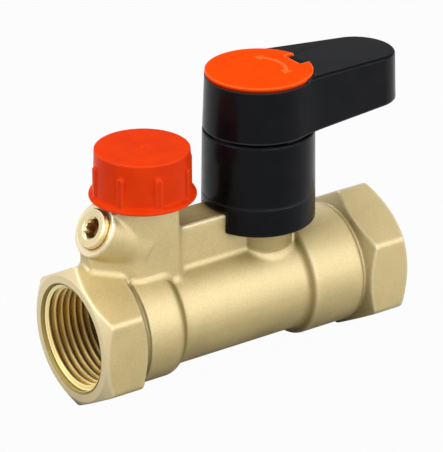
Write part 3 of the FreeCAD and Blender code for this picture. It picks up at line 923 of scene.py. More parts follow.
class SizedTree:
    """Geometry Nodes tree with one named input for each size of a piece, in millimetres."""

    def __init__(self, name: str, sizes: object) -> None:
        """Makes the tree and its inputs.

        Args:
            name: Name of the tree.
            sizes: Dataclass whose fields are the inputs.
        """
        self.tree = bpy.data.node_groups.new(name, "GeometryNodeTree")
        self.sizes = sizes
        self.identifiers: dict[str, str] = {}
        self.tree.interface.new_socket("Geometry", in_out="OUTPUT", socket_type="NodeSocketGeometry")
        for size in fields(sizes):
            whole = isinstance(getattr(sizes, size.name), int)
            kind = "NodeSocketInt" if whole else "NodeSocketFloat"
            socket = self.tree.interface.new_socket(size.name, in_out="INPUT", socket_type=kind)
            self.identifiers[size.name] = socket.identifier
        self.source = self.tree.nodes.new("NodeGroupInput")
        self.sink = self.tree.nodes.new("NodeGroupOutput")

    def size(self, name: str) -> Scalar:
        """Number from a named input."""
        return Scalar(self.tree, self.source.outputs[name])

    def node(self, kind: str, mode: str = "", **inputs: object) -> bpy.types.Node:
        """Adds a node and fills its inputs.

        Args:
            kind: Type of the node.
            mode: Mode of the node, if it has more than one.
            inputs: Values, numbers or sockets by input name, with spaces written as underscores.

        Returns:
            The node.
        """
        node = self.tree.nodes.new(kind)
        if mode:
            node.mode = mode
        for name, value in inputs.items():
            slot = node.inputs[name.replace("_", " ")]
            if isinstance(value, Scalar):
                self.tree.links.new(value.socket, slot)
            elif isinstance(value, Socket):
                self.tree.links.new(value, slot)
            else:
                slot.default_value = value
        return node

    def vector(self, x: Number, y: Number, z: Number) -> Socket:
        """Vector from three numbers."""
        return self.node("ShaderNodeCombineXYZ", X=x, Y=y, Z=z).outputs["Vector"]

    def place(self) -> tuple[Scalar, Scalar, Scalar]:
        """Coordinates of the point where the field is read.

        Returns:
            Its x, y and z.
        """
        position = self.node("GeometryNodeInputPosition").outputs["Position"]
        parts = self.node("ShaderNodeSeparateXYZ", Vector=position).outputs
        return tuple(Scalar(self.tree, parts[axis]) for axis in "XYZ")

    def solid(self, distance: Scalar, low: Triple, high: Triple, voxel: float, ease: float) -> Socket:
        """Skin of the solid that a distance field describes.

        Args:
            distance: Distance to the solid, negative inside.
            low: Lowest corner of the room round it.
            high: Highest corner of the room round it.
            voxel: Grid step.
            ease: How far flat areas may be simplified.

        Returns:
            The mesh socket.
        """
        density = (distance * (-1.0 / (SKIN_VOXELS * voxel))).math("ADD", 0.5, clamp=True)
        counts = [round((b - a) / voxel) for a, b in zip(low, high)]
        room = self.node("GeometryNodeVolumeCube", Density=density, Min=low, Max=high)
        for axis, count in zip("XYZ", counts):
            room.inputs["Resolution " + axis].default_value = count
        skin = self.node(
            "GeometryNodeVolumeToMesh", Volume=room.outputs["Volume"], Threshold=0.5, Adaptivity=ease
        )
        return skin.outputs["Mesh"]

    def finish(self, mesh: Socket, material: bpy.types.Material, smooth: bool = True) -> None:
        """Ends the tree: millimetres to metres, real instances, shading and material.

        Args:
            mesh: Geometry in millimetres.
            material: Material of the piece.
            smooth: Whether faces are shaded smooth.
        """
        scaled = self.node("GeometryNodeTransform", Geometry=mesh, Scale=(MM, MM, MM)).outputs["Geometry"]
        real = self.node("GeometryNodeRealizeInstances", Geometry=scaled).outputs["Geometry"]
        shaded = self.node("GeometryNodeSetShadeSmooth", Geometry=real, Shade_Smooth=smooth)
        dressed = self.node("GeometryNodeSetMaterial", Geometry=shaded.outputs["Geometry"], Material=material)
        self.tree.links.new(dressed.outputs["Geometry"], self.sink.inputs["Geometry"])

    def piece(self, name: str) -> bpy.types.Object:
        """Runs the tree and keeps its result as a plain mesh.

        Args:
            name: Name of the piece.

        Returns:
            The piece, with no modifier.
        """
        piece = bpy.data.objects.new(name, bpy.data.meshes.new(name + "_seed"))
        bpy.context.scene.collection.objects.link(piece)
        modifier = piece.modifiers.new(name, "NODES")
        modifier.node_group = self.tree
        for size, identifier in self.identifiers.items():
            modifier[identifier] = getattr(self.sizes, size)
        graph = bpy.context.evaluated_depsgraph_get()
        mesh = bpy.data.meshes.new_from_object(piece.evaluated_get(graph))
        mesh.name = name
        piece.modifiers.remove(modifier)
        piece.data = mesh
        face_outward(mesh)
        return piece


def face_outward(mesh: bpy.types.Mesh) -> None:
    """Turns a closed mesh the right way out if it is inside out.

    Args:
        mesh: The mesh to look at.
    """
    work = bmesh.new()
    work.from_mesh(mesh)
    if work.calc_volume(signed=True) < 0:
        bmesh.ops.reverse_faces(work, faces=work.faces)
        work.to_mesh(mesh)
    work.free()


def smooth_piece(name: str, mesh: bpy.types.Mesh, sharp_deg: float) -> bpy.types.Object:
    """Piece with a mesh that is smooth between its sharp edges.

    Args:
        name: Name of the piece.
        mesh: Its mesh.
        sharp_deg: Edges that turn more than this stay sharp.

    Returns:
        The piece.
    """
    for face in mesh.polygons:
        face.use_smooth = True
    mesh.set_sharp_from_angle(angle=math.radians(sharp_deg))
    piece = bpy.data.objects.new(name, mesh)
    bpy.context.scene.collection.objects.link(piece)
    return piece


def smooth_copy(
    node: str, name: str, sharp_deg: float = 32.0, merge: float = 2e-6, sliver: float = 1e-7
) -> bpy.types.Object:
    """Merged copy of a frame node, with smooth rounds and crisp edges.

    Args:
        node: Name of the node.
        name: Name of the copy.
        sharp_deg: Edges that turn more than this stay sharp.
        merge: Corners this close become one, in metres.
        sliver: Faces this thin go, in metres.

    Returns:
        The copy.
    """
    work = bmesh.new()
    work.from_mesh(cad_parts[node].data)
    bmesh.ops.remove_doubles(work, verts=work.verts, dist=merge)
    bmesh.ops.dissolve_degenerate(work, dist=sliver, edges=work.edges)
    mesh = bpy.data.meshes.new(name + "_seed")
    work.to_mesh(mesh)
    work.free()
    piece = smooth_piece(name, mesh, sharp_deg)
    weighted = piece.modifiers.new("weighted", "WEIGHTED_NORMAL")
    weighted.keep_sharp = True
    graph = bpy.context.evaluated_depsgraph_get()
    piece_mesh = bpy.data.meshes.new_from_object(piece.evaluated_get(graph))
    piece.modifiers.remove(weighted)
    piece_mesh.name = name
    piece.data = piece_mesh
    return piece


def turned(
    name: str, outline: Sequence[Point], place: Matrix, steps: int = 128, sharp_deg: float = 25.0
) -> bpy.types.Object:
    """Ring turned from a closed outline.

    Args:
        name: Name of the piece.
        outline: Radius and height of each corner, in millimetres.
        place: Where the turning axis stands, in metres.
        steps: Steps round the ring.
        sharp_deg: Edges that turn more than this stay sharp.

    Returns:
        The piece.
    """
    work = bmesh.new()
    rings = []
    for step in range(steps):
        angle = 2 * math.pi * step / steps
        x, y = math.cos(angle), math.sin(angle)
        rings.append([work.verts.new(place @ Vector((r * x, r * y, z))) for r, z in outline])
    for step in range(steps):
        near, far = rings[step], rings[(step + 1) % steps]
        for i in range(len(outline)):
            j = (i + 1) % len(outline)
            work.faces.new((near[i], far[i], far[j], near[j]))
    bmesh.ops.recalc_face_normals(work, faces=work.faces)
    mesh = bpy.data.meshes.new(name)
    work.to_mesh(mesh)
    work.free()
    face_outward(mesh)
    return smooth_piece(name, mesh, sharp_deg)


def settle(piece: bpy.types.Object, body: Body, *nodes: str) -> None:
    """Lets a piece ride on a body, in place of some frame nodes, and reports it.

    Args:
        piece: The finished piece.
        body: The body that it moves with.
        nodes: Frame nodes that it stands for.
    """
    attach(piece, body.value)
    if nodes:
        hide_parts(*nodes)
    LOG.info("%s: %d faces on %s", piece.name, len(piece.data.polygons), body.value)


@dataclass
class ThreadSizes:
    """Sizes of a pipe thread's ridge, in millimetres."""

    wall_r: float
    height: float
    pitch: float
    turns: float
    foot_width: float
    crest_width: float
    start_turn: float = 0.0
    fade_turns: float = 0.4
    steps: int = 96


@dataclass
class Thread:
    """A helical ridge on a round wall."""

    name: str
    sizes: ThreadSizes
    side: ThreadSide
    place: Matrix
    body: Body
    slot: Slot
    material: bpy.types.Material
    sharp_deg: float = 30.0
    least_scale: float = 0.05

    def build(self) -> None:
        """Sweeps the ridge along its helix, with ends that fade into the wall."""
        tree = SizedTree(self.name, self.sizes)
        turns = tree.size("turns")
        wall_r = tree.size("wall_r")
        helix = tree.node(
            "GeometryNodeCurveSpiral",
            Resolution=tree.size("steps"),
            Rotations=turns,
            Start_Radius=wall_r,
            End_Radius=wall_r,
            Height=tree.size("pitch") * turns,
        )
        aimed = tree.node("GeometryNodeSetCurveNormal", "Z_UP", Curve=helix.outputs["Curve"])
        crest = tree.size("height") * -self.side.value
        foot_half = tree.size("foot_width") * 0.5
        crest_half = tree.size("crest_width") * 0.5
        section = tree.node(
            "GeometryNodeCurvePrimitiveQuadrilateral",
            "POINTS",
            Point_1=tree.vector(0.0, -foot_half, 0.0),
            Point_2=tree.vector(crest, -crest_half, 0.0),
            Point_3=tree.vector(crest, crest_half, 0.0),
            Point_4=tree.vector(0.0, foot_half, 0.0),
        )
        along = Scalar(tree.tree, tree.node("GeometryNodeSplineParameter").outputs["Factor"]) * turns
        fade = lesser(along, turns - along) / tree.size("fade_turns")
        ridge = tree.node(
            "GeometryNodeCurveToMesh",
            Curve=aimed.outputs["Curve"],
            Profile_Curve=section.outputs["Curve"],
            Scale=greater(lesser(fade, 1.0), self.least_scale),
            Fill_Caps=True,
        )
        turn = tree.vector(0.0, 0.0, tree.size("start_turn") * (2 * math.pi))
        turned_ridge = tree.node("GeometryNodeTransform", Geometry=ridge.outputs["Mesh"])
        spin = tree.node("FunctionNodeEulerToRotation", Euler=turn)
        tree.tree.links.new(spin.outputs["Rotation"], turned_ridge.inputs["Rotation"])
        tree.finish(turned_ridge.outputs["Geometry"], self.material)
        piece = tree.piece(self.name)
        piece.data.transform(self.place)
        piece.data.set_sharp_from_angle(angle=math.radians(self.sharp_deg))
        settle(piece, self.body)


@dataclass(frozen=True)
class OutletThread:
    """What the threads on the drain outlet and in its cap share, in millimetres."""

    start_z: float = 44.2
    pitch: float = 1.814
    turns: float = 4.0
    foot_width: float = 1.4
    crest_width: float = 0.25
    sink: float = 0.06

    def ridge(self, wall_r: float, height: float, start_turn: float = 0.0) -> ThreadSizes:
        """Sizes of one of the two threads.

        Args:
            wall_r: Radius at the foot of the thread.
            height: Height of the ridge over the wall.
            start_turn: Share of a turn where it starts.

        Returns:
            The thread's sizes.
        """
        return ThreadSizes(
            wall_r=wall_r,
            height=height,
            pitch=self.pitch,
            turns=self.turns,
            foot_width=self.foot_width,
            crest_width=self.crest_width,
            start_turn=start_turn,
        )

    def place(self, drain_x: float) -> Matrix:
        """Where both threads start on the outlet's axis, in metres."""
        return Matrix.Translation((drain_x * MM, 0, self.start_z * MM))


@dataclass(frozen=True)
class RingSizes:
    """Sizes of the thin machined rings that lie on the forging, in millimetres."""

    boss_inset: float = 0.25
    boss_edge: float = 0.1
    boss_proud: float = 0.05
    boss_depth: float = 0.4
    boss_back: tuple[Point, Point] = ((7.2, -1.2), (7.8, -0.4))
    mouth_r: float = 7.6
    mouth_depth: float = 0.42
    bore_r: float = 6.28
    bore_end: float = 1.6
    port_proud: float = 0.015
    port_overlap: float = 0.3
    port_back: tuple[Point, Point] = ((19.65, 0.5), (17.425, 0.4))
    port_mouth_run: float = 0.35


@dataclass
class ForgedBody:
    """Forged brass body with its machined mouths and threads."""

    finishes: Finishes
    sizes: ForgingSizes
    rings: RingSizes = RingSizes()
    outlet_ridge: OutletThread = OutletThread()
    outlet_ridge_height: float = 1.15
    lean_deg: float = 30.0
    thread_sink: float = 0.12
    thread_inset: float = 0.1
    voxel: float = 0.42
    ease: float = 0.004
    room_margin: float = 1.5
    room_half: float = 22.0
    room_depth: float = 25.2

    def build(self) -> None:
        """Builds the forging, its threads and its machined rings."""
        self.forging()
        self.port_threads()
        self.outlet_thread()
        self.boss_ring()
        self.port_rings()

    def pipe(self, tree: SizedTree, at: Spot) -> Scalar:
        """Hexagons, collars and barrel.

        Args:
            tree: Tree of the forging.
            at: Place of the point.

        Returns:
            Distance to the pipe's outside.
        """
        size, x, y, z, r = tree.size, at.x, at.y, at.z, at.r
        edge = size("edge_round")
        lean = math.cos(math.radians(CHAMFER_DEG))
        depth = end_depth(x, size("length"))
        flat = size("across_flats") * 0.5
        corner = size("corner_round")
        across, up = y * math.cos(HEX_STEP), z * math.sin(HEX_STEP)
        sides = meet(abs(y) - flat, abs(across + up) - flat, corner)
        sides = meet(sides, abs(across - up) - flat, corner)
        front = ((r - size("face_r")) * CHAMFER_SLOPE - depth) * lean
        back = ((r - size("groove_r")) * CHAMFER_SLOPE - size("hex_foot") + depth) * lean
        hexagon = greater(meet(meet(sides, front, edge), back, edge), -depth)
        core = size("core_start") - depth
        start = size("hex_foot") + size("groove_width")
        groove = greater(r - size("groove_r"), depth - start - size("groove_run"), core)
        collar = r - size("collar_r")
        near = meet(collar, x - size("near_collar_end"), size("near_crown"))
        near = meet(near, start - x, size("near_edge"))
        far = meet(collar, size("far_collar_start") - x, size("far_edge"))
        far = meet(far, x - size("length") + start, size("far_edge"))
        barrel = greater(r - size("barrel_r"), core)
        collared = join(join(barrel, near, size("near_fillet")), far, size("far_sweep"))
        return lesser(collared, groove, hexagon)

    def tower(self, tree: SizedTree, at: Spot) -> Scalar:
        """Drain tower with its web, the leaning boss and the rib.

        Args:
            tree: Tree of the forging.
            at: Place of the point.

        Returns:
            Distance to the tower's outside.
        """
        size, x, y, z = tree.size, at.x, at.y, at.z
        side = abs(y) - size("tower_half")
        rise = size("tower_half") - size("nose_half")
        slant = (side * size("nose_run") - (x - size("tower_front")) * rise) / reach(rise, size("nose_run"))
        plan = meet(meet(side, slant, size("web_edge")), x - size("tower_back"), size("tower_corner"))
        plan = meet(plan, size("nose_x") - x, size("nose_edge"))
        out, around = self.boss_place(tree, at)
        tower = meet(plan, z - size("tower_top"), size("tower_edge"))
        tower = meet(tower, out + size("boss_proud"), size("nose_edge"))
        wall = around - size("boss_r") + out * size("boss_draft")
        boss = greater(meet(wall, out, size("boss_edge")), -out - size("boss_length"))
        facing = greater(reach(x - size("drain_x"), y) - size("facing_r"), size("tower_top") - z)
        head = greater(join(tower, boss, size("boss_fillet")), -facing)
        rib = meet(abs(y) - size("rib_half"), z - size("rib_top"), size("rib_edge"))
        rib = greater(rib, size("drain_x") - x, x - size("stem_x"))
        return greater(join(head, rib, size("rib_fillet")), -z)

    def boss_place(self, tree: SizedTree, at: Spot) -> tuple[Scalar, Scalar]:
        """Place of a point along and round the leaning axis of the boss.

        Args:
            tree: Tree of the forging.
            at: Place of the point.

        Returns:
            Distance out of the boss face and distance from its axis.
        """
        lean = math.radians(self.lean_deg)
        dx = at.x - tree.size("boss_x")
        dz = at.z - tree.size("boss_z")
        out = dz * math.sin(lean) - dx * math.cos(lean)
        up = dx * math.sin(lean) + dz * math.cos(lean)
        return out, reach(up, at.y)

    def upper(self, tree: SizedTree, at: Spot) -> tuple[Scalar, Scalar]:
        """Stem neck and drain outlet.

        Args:
            tree: Tree of the forging.
            at: Place of the point.

        Returns:
            Distance to the neck and distance to the outlet.
        """
        size, x, y, z = tree.size, at.x, at.y, at.z
        neck = meet(reach(x - size("stem_x"), y) - size("neck_r"), z - size("neck_top"), size("neck_edge"))
        round_outlet = reach(x - size("drain_x"), y)
        shoulder = (round_outlet - size("tower_half") - z + size("tower_top")) * DIAGONAL
        outlet = meet(round_outlet - size("outlet_r"), z - size("outlet_top"), size("outlet_edge"))
        outlet = greater(outlet, shoulder, size("tower_top") - size("outlet_root") - z)
        return greater(neck, -z), outlet

    def hollow(self, tree: SizedTree, at: Spot) -> Scalar:
        """Ports, water way, ball chamber, stem bore and drain bores.

        Args:
            tree: Tree of the forging.
            at: Place of the point.

        Returns:
            Distance to the hollows.
        """
        size, x, y, z, r = tree.size, at.x, at.y, at.z, at.r
        depth = end_depth(x, size("length"))
        port = r - size("port_r")
        near = greater(port, (port + x - size("port_depth")) * DIAGONAL)
        main = greater(r - size("main_r"), x - size("stem_x"))
        chamber_end = x - size("far_port_start") - size("chamber_run")
        chamber = greater(r - size("chamber_r"), size("chamber_start") - x, chamber_end)
        far = greater(port, size("far_port_start") - x)
        mouth = greater((r - size("mouth_r") + depth) * DIAGONAL, depth - size("mouth_depth"))
        stem = greater(reach(x - size("stem_x"), y) - size("stem_bore_r"), -z)
        out, around = self.boss_place(tree, at)
        cone = (around - size("spindle_mouth_r") - out) * DIAGONAL
        cone = greater(cone, -out - size("spindle_mouth_depth"))
        guide = greater(around - size("spindle_bore_r"), -out - size("spindle_guide"))
        drain = greater(around - size("spindle_chamber_r"), -out - size("spindle_chamber_depth"))
        way = greater(around - size("drain_way_r"), -out - size("drain_way_depth"))
        outlet = greater(reach(x - size("drain_x"), y) - size("outlet_bore_r"), size("outlet_bore_floor") - z)
        return lesser(near, main, chamber, far, mouth, stem, cone, guide, drain, way, outlet)

    def forging(self) -> None:
        """Builds the body from one distance field, with fillets where its forms meet."""
        tree = SizedTree("forging", self.sizes)
        x, y, z = tree.place()
        at = Spot(x, y, z, reach(y, z))
        neck, outlet = self.upper(tree, at)
        risers = lesser(self.tower(tree, at), neck)
        solid = lesser(join(self.pipe(tree, at), risers, tree.size("foot_fillet")), outlet)
        solid = meet(solid, -self.hollow(tree, at), tree.size("bore_edge"))
        margin = self.room_margin
        low = (-margin, -self.room_half, -self.room_depth)
        high = (self.sizes.length + margin, self.room_half, self.sizes.outlet_top + margin)
        mesh = tree.solid(solid, low, high, self.voxel, self.ease)
        tree.finish(mesh, self.finishes.by_slot[Slot.BLASTED_BRASS])
        piece = tree.piece("forged_body")
        settle(piece, Body.VALVE, "valve_body")

    def port_threads(self) -> None:
        """Builds the inside threads of both ports."""
        sizes = ThreadSizes(
            wall_r=self.sizes.port_r + self.thread_sink,
            height=1.52,
            pitch=2.309,
            turns=7.5,
            foot_width=2.0,
            crest_width=0.35,
            fade_turns=0.9,
        )
        along = Matrix.Rotation(math.radians(90), 4, "Y")
        far_start = self.sizes.length - self.thread_inset - sizes.turns * sizes.pitch
        for name, start in (("port_thread_near", self.thread_inset), ("port_thread_far", far_start)):
            place = Matrix.Translation((start * MM, 0, 0)) @ along
            slot = Slot.TURNED_BRASS
            Thread(name, sizes, ThreadSide.INSIDE, place, Body.VALVE, slot, self.finishes.tapped).build()

    def outlet_thread(self) -> None:
        """Builds the outside thread of the drain outlet, under the cap."""
        ridge = self.outlet_ridge
        sizes = ridge.ridge(self.sizes.outlet_r - ridge.sink, self.outlet_ridge_height)
        place = ridge.place(self.sizes.drain_x)
        slot = Slot.TURNED_BRASS
        material = self.finishes.by_slot[slot]
        Thread("outlet_thread", sizes, ThreadSide.OUTSIDE, place, Body.VALVE, slot, material).build()

    def boss_ring(self) -> None:
        """Builds the machined face and mouth of the spindle boss."""
        ring = self.rings
        outer = self.sizes.boss_r - ring.boss_inset
        outline = (
            (outer, -ring.boss_depth),
            (outer, 0.0),
            (outer - ring.boss_edge, ring.boss_proud),
            (ring.mouth_r, ring.boss_proud),
            (ring.bore_r, -ring.mouth_depth),
            (ring.bore_r, -ring.bore_end),
            *ring.boss_back,
        )
        lean = Matrix.Rotation(math.radians(self.lean_deg - 90), 4, "Y")
        face = Matrix.Translation((self.sizes.boss_x * MM, 0, self.sizes.boss_z * MM))
        piece = turned("boss_ring", outline, face @ lean @ Matrix.Scale(MM, 4))
        self.finishes.dress(piece, Slot.TURNED_BRASS)
        piece.data.materials[0] = self.finishes.faced
        settle(piece, Body.VALVE)

    def port_rings(self) -> None:
        """Builds the crisp machined face round each port."""
        mouth, face = self.sizes.mouth_r, self.sizes.face_r
        proud, overlap, run = self.rings.port_proud, self.rings.port_overlap, self.rings.port_mouth_run
        outline = (
            (mouth, -proud),
            (face, -proud),
            (face + overlap, overlap * CHAMFER_SLOPE - proud),
            (face + overlap, overlap),
            *self.rings.port_back,
            (mouth - run, run),
        )
        along = Matrix.Rotation(math.radians(90), 4, "Y") @ Matrix.Scale(MM, 4)
        back = Matrix.Translation((self.sizes.length * MM, 0, 0)) @ Matrix.Rotation(math.radians(180), 4, "Z")
        for name, place in (("port_ring_near", along), ("port_ring_far", back @ along)):
            piece = turned(name, outline, place)
            self.finishes.dress(piece, Slot.BLASTED_BRASS)
            settle(piece, Body.VALVE)


@dataclass(frozen=True)
class CapSizes:
    """Sizes of the drain cap, in millimetres."""

    drain_x: float = 26.5
    bottom: float = 41.2
    bottom_edge: float = 0.25
    top: float = 56.6
    foot_r: float = 15.0
    top_r: float = 14.5
    flange_r: float = 16.35
    flange: float = 0.9
    flange_lean: float = 0.55
    flange_rise: float = 0.835
    flange_edge: float = 0.35
    inner_r: float = 13.36
    inner_top: float = 54.2
    inner_edge: float = 0.2
    rib_count: int = 8
    rib_turn_deg: float = 31.0
    rib_half: float = 1.1
    rib_r: float = 15.6
    rib_drop: float = 4.2
    rib_edge: float = 0.45
    rib_fillet: float = 0.4
    edge_round: float = 0.4
    gate_r: float = 0.5
    gate_fillet: float = 0.35
    dimple_ring_r: float = 1.75
    dimple_r: float = 0.5
    dimple_lift: float = 0.35
    dimple_edge: float = 0.2


@dataclass
class DrainCap:
    """Ribbed cap of the drain outlet, its thread and gasket."""

    finishes: Finishes
    sizes: CapSizes
    ridge: OutletThread = OutletThread()
    ridge_height: float = 1.05
    voxel: float = 0.2
    ease: float = 0.004
    room_half: float = 17.2
    room_below: float = 0.8
    room_above: float = 1.2

    def build(self) -> None:
        """Builds the cap and its thread, and dresses its gasket."""
        self.cap()
        self.inner_thread()
        self.finishes.dress_nodes({"cap_gasket": Slot.SEAL_RUBBER})

    def cap(self) -> None:
        """Builds the moulded cap from one distance field, with its ribs repeated round the axis."""
        tree = SizedTree("ribbed_cap", self.sizes)
        size = tree.size
        x, y, z = tree.place()
        x = x - size("drain_x")
        r = reach(x, y)
        at = Spot(x, y, z, r)
        shell = join(self.shell(tree, at), self.rib(tree, at), size("rib_fillet"))
        gate = reach(r, z - size("top")) - size("gate_r")
        solid = join(shell, gate, size("gate_fillet"))
        dimple_z = z - size("top") - size("dimple_lift")
        dimple = reach(r - size("dimple_ring_r"), dimple_z) - size("dimple_r")
        solid = meet(solid, -dimple, size("dimple_edge"))
        solid = meet(solid, size("bottom") - z, size("bottom_edge"))
        inside = greater(r - size("inner_r"), z - size("inner_top"))
        solid = meet(solid, -inside, size("inner_edge"))
        low = (self.sizes.drain_x - self.room_half, -self.room_half, self.sizes.bottom - self.room_below)
        high = (self.sizes.drain_x + self.room_half, self.room_half, self.sizes.top + self.room_above)
        mesh = tree.solid(solid, low, high, self.voxel, self.ease)
        tree.finish(mesh, self.finishes.by_slot[Slot.RED_PLASTIC])
        piece = tree.piece("ribbed_cap")
        settle(piece, Body.CAP, "drain_cap")

    @staticmethod
    def shell(tree: SizedTree, at: Spot) -> Scalar:
        """Tapering outside of the cap with its flange.

        Args:
            tree: Tree of the cap.
            at: Place of the point.

        Returns:
            Distance to the outside.
        """
        size, z, r = tree.size, at.z, at.r
        share = (z - size("bottom")) / (size("top") - size("bottom"))
        wall = r - size("foot_r") + (size("foot_r") - size("top_r")) * share
        shell = meet(wall, z - size("top"), size("edge_round"))
        out = r - size("flange_r")
        slope = out * size("flange_lean") + (z - size("bottom") - size("flange")) * size("flange_rise")
        return join(shell, meet(out, slope, size("flange_edge")), size("flange_edge"))

    @staticmethod
    def rib(tree: SizedTree, at: Spot) -> Scalar:
        """Round-topped ribs, one folded round the axis to all their places.

        Args:
            tree: Tree of the cap.
            at: Place of the point.

        Returns:
            Distance to the nearest rib.
        """
        size = tree.size
        step = size("rib_count").math("DIVIDE", 2 * math.pi).math("POWER", -1.0)
        angle = at.y.math("ARCTAN2", at.x) - size("rib_turn_deg") * math.radians(1)
        fold = angle.math("WRAP", step * 0.5, step * -0.5)
        across = abs(at.r * fold.math("SINE"))
        outward = at.r * fold.math("COSINE")
        rib_top = size("top") - size("rib_drop") - size("rib_half")
        bar = reach(across, greater(at.z - rib_top, 0.0)) - size("rib_half")
        return meet(bar, outward - size("rib_r"), size("rib_edge"))

    def inner_thread(self) -> None:
        """Builds the thread inside the cap, half a turn from that of the outlet."""
        sizes = self.ridge.ridge(self.sizes.inner_r + self.ridge.sink, self.ridge_height, start_turn=0.5)
        place = self.ridge.place(self.sizes.drain_x)
        slot = Slot.RED_PLASTIC
        material = self.finishes.by_slot[slot]
        Thread("cap_thread", sizes, ThreadSide.INSIDE, place, Body.CAP, slot, material).build()


@dataclass(frozen=True)
class SignSizes:
    """Sizes of the turning sign on the cover disc, in millimetres."""

    centre_x: float = 66.75
    top_z: float = 72.3
    ring_r: float = 10.1
    sweep_deg: float = 87.0
    steps: int = 48
    line_width: float = 1.3
    line_share: float = 0.9
    height: float = 0.24
    head_r: float = 1.9
    head_stretch: float = 1.19


@dataclass
class Handle:
    """Lever with its sleeve, cover disc, sign and the pieces that hold it."""

    finishes: Finishes
    sign_sizes: SignSizes

    def build(self) -> None:
        """Builds and dresses the pieces of the handle and the sleeve under it."""
        for node, name, body, slot in (
            ("lever", "lever_moulding", Body.HANDLE, Slot.BLACK_PLASTIC),
            ("neck_sleeve", "sleeve_moulding", Body.VALVE, Slot.BLACK_PLASTIC),
            ("cover_disc", "disc_moulding", Body.HANDLE, Slot.ORANGE_PLASTIC),
        ):
            piece = smooth_copy(node, name)
            self.finishes.dress(piece, slot)
            settle(piece, body, node)
        self.sign()
        self.finishes.dress_nodes({
            "stem": Slot.TURNED_BRASS,
            "lever_screw": Slot.PLATED_STEEL,
            "lever_washer": Slot.PLATED_STEEL,
            "stem_o_ring_lower": Slot.SEAL_RUBBER,
            "stem_o_ring_upper": Slot.SEAL_RUBBER,
            "ball": Slot.PLATED_BALL,
        })

    def sign(self) -> None:
        """Builds the raised sign: an arc with a head at each end."""
        tree = SizedTree("turning_sign", self.sign_sizes)
        size = tree.size
        both = tree.node("GeometryNodeJoinGeometry")
        for part in (self.sign_line(tree), self.sign_heads(tree)):
            tree.tree.links.new(part, both.inputs["Geometry"])
        moved = tree.node(
            "GeometryNodeTransform",
            Geometry=both.outputs["Geometry"],
            Translation=tree.vector(size("centre_x"), 0.0, size("top_z")),
        )
        tree.finish(moved.outputs["Geometry"], self.finishes.sign, smooth=False)
        piece = tree.piece("turning_sign")
        settle(piece, Body.HANDLE)

    @staticmethod
    def sign_line(tree: SizedTree) -> Socket:
        """Curved line of the sign.

        Args:
            tree: Tree of the sign.

        Returns:
            The line's mesh socket.
        """
        size = tree.size
        sweep = size("sweep_deg") * math.radians(1)
        arc = tree.node(
            "GeometryNodeCurveArc",
            Resolution=size("steps"),
            Radius=size("ring_r"),
            Start_Angle=sweep * -0.5,
            Sweep_Angle=sweep,
        )
        aimed = tree.node("GeometryNodeSetCurveNormal", "Z_UP", Curve=arc.outputs["Curve"])
        section = tree.node(
            "GeometryNodeCurvePrimitiveQuadrilateral",
            Width=size("line_width"),
            Height=size("height") * size("line_share"),
        )
        line = tree.node(
            "GeometryNodeCurveToMesh",
            Curve=aimed.outputs["Curve"],
            Profile_Curve=section.outputs["Curve"],
            Fill_Caps=True,
        )
        return line.outputs["Mesh"]

    @staticmethod
    def sign_heads(tree: SizedTree) -> Socket:
        """Three-cornered head at each end of the line, pointing away from it.

        Args:
            tree: Tree of the sign.

        Returns:
            The heads' instances socket.
        """
        size = tree.size
        head = tree.node("GeometryNodeMeshCylinder", Vertices=3, Radius=size("head_r"), Depth=size("height"))
        ends = tree.node("GeometryNodeMeshLine", Count=2)
        end = Scalar(tree.tree, tree.node("GeometryNodeInputIndex").outputs["Index"]) * 2.0 - 1.0
        angle = size("sweep_deg") * math.radians(1) * 0.5 * end
        spot = tree.vector(angle.math("COSINE") * size("ring_r"), angle.math("SINE") * size("ring_r"), 0.0)
        set_ends = tree.node("GeometryNodeSetPosition", Geometry=ends.outputs["Mesh"], Position=spot)
        turn = tree.vector(0.0, 0.0, angle + end * (math.pi / 2))
        aim = tree.node("FunctionNodeEulerToRotation", Euler=turn)
        heads = tree.node(
            "GeometryNodeInstanceOnPoints",
            Points=set_ends.outputs["Geometry"],
            Instance=head.outputs["Mesh"],
            Rotation=aim.outputs["Rotation"],
            Scale=tree.vector(1.0, size("head_stretch"), 1.0),
        )
        return heads.outputs["Instances"]


@dataclass
class DrainCock:
    """Spindle of the drain with its seals."""

    finishes: Finishes

    def build(self) -> None:
        """Dresses the spindle and its seals."""
        piece = smooth_copy("drain_spindle", "spindle_turning")
        self.finishes.dress(piece, Slot.TURNED_BRASS)
        settle(piece, Body.SPINDLE, "drain_spindle")
        self.finishes.dress_nodes(dict.fromkeys(("spindle_o_ring", "spindle_seat_seal"), Slot.SEAL_RUBBER))


@dataclass
class BallSeats:
    """Seats, their retainer and the stem's washer inside the body."""

    finishes: Finishes

    def build(self) -> None:
        """Dresses the pieces inside the body."""
        self.finishes.dress_nodes({
            "seat_ring_front": Slot.SEAT_PLASTIC,
            "seat_ring_rear": Slot.SEAT_PLASTIC,
            "stem_thrust_washer": Slot.SEAT_PLASTIC,
            "seat_retainer": Slot.TURNED_BRASS,
            "retainer_o_ring": Slot.SEAL_RUBBER,
        })


@dataclass(frozen=True)
class Lamp:
    """A soft lamp aimed at the valve."""

    name: str
    place: Triple
    width: float
    height: float
    power: float


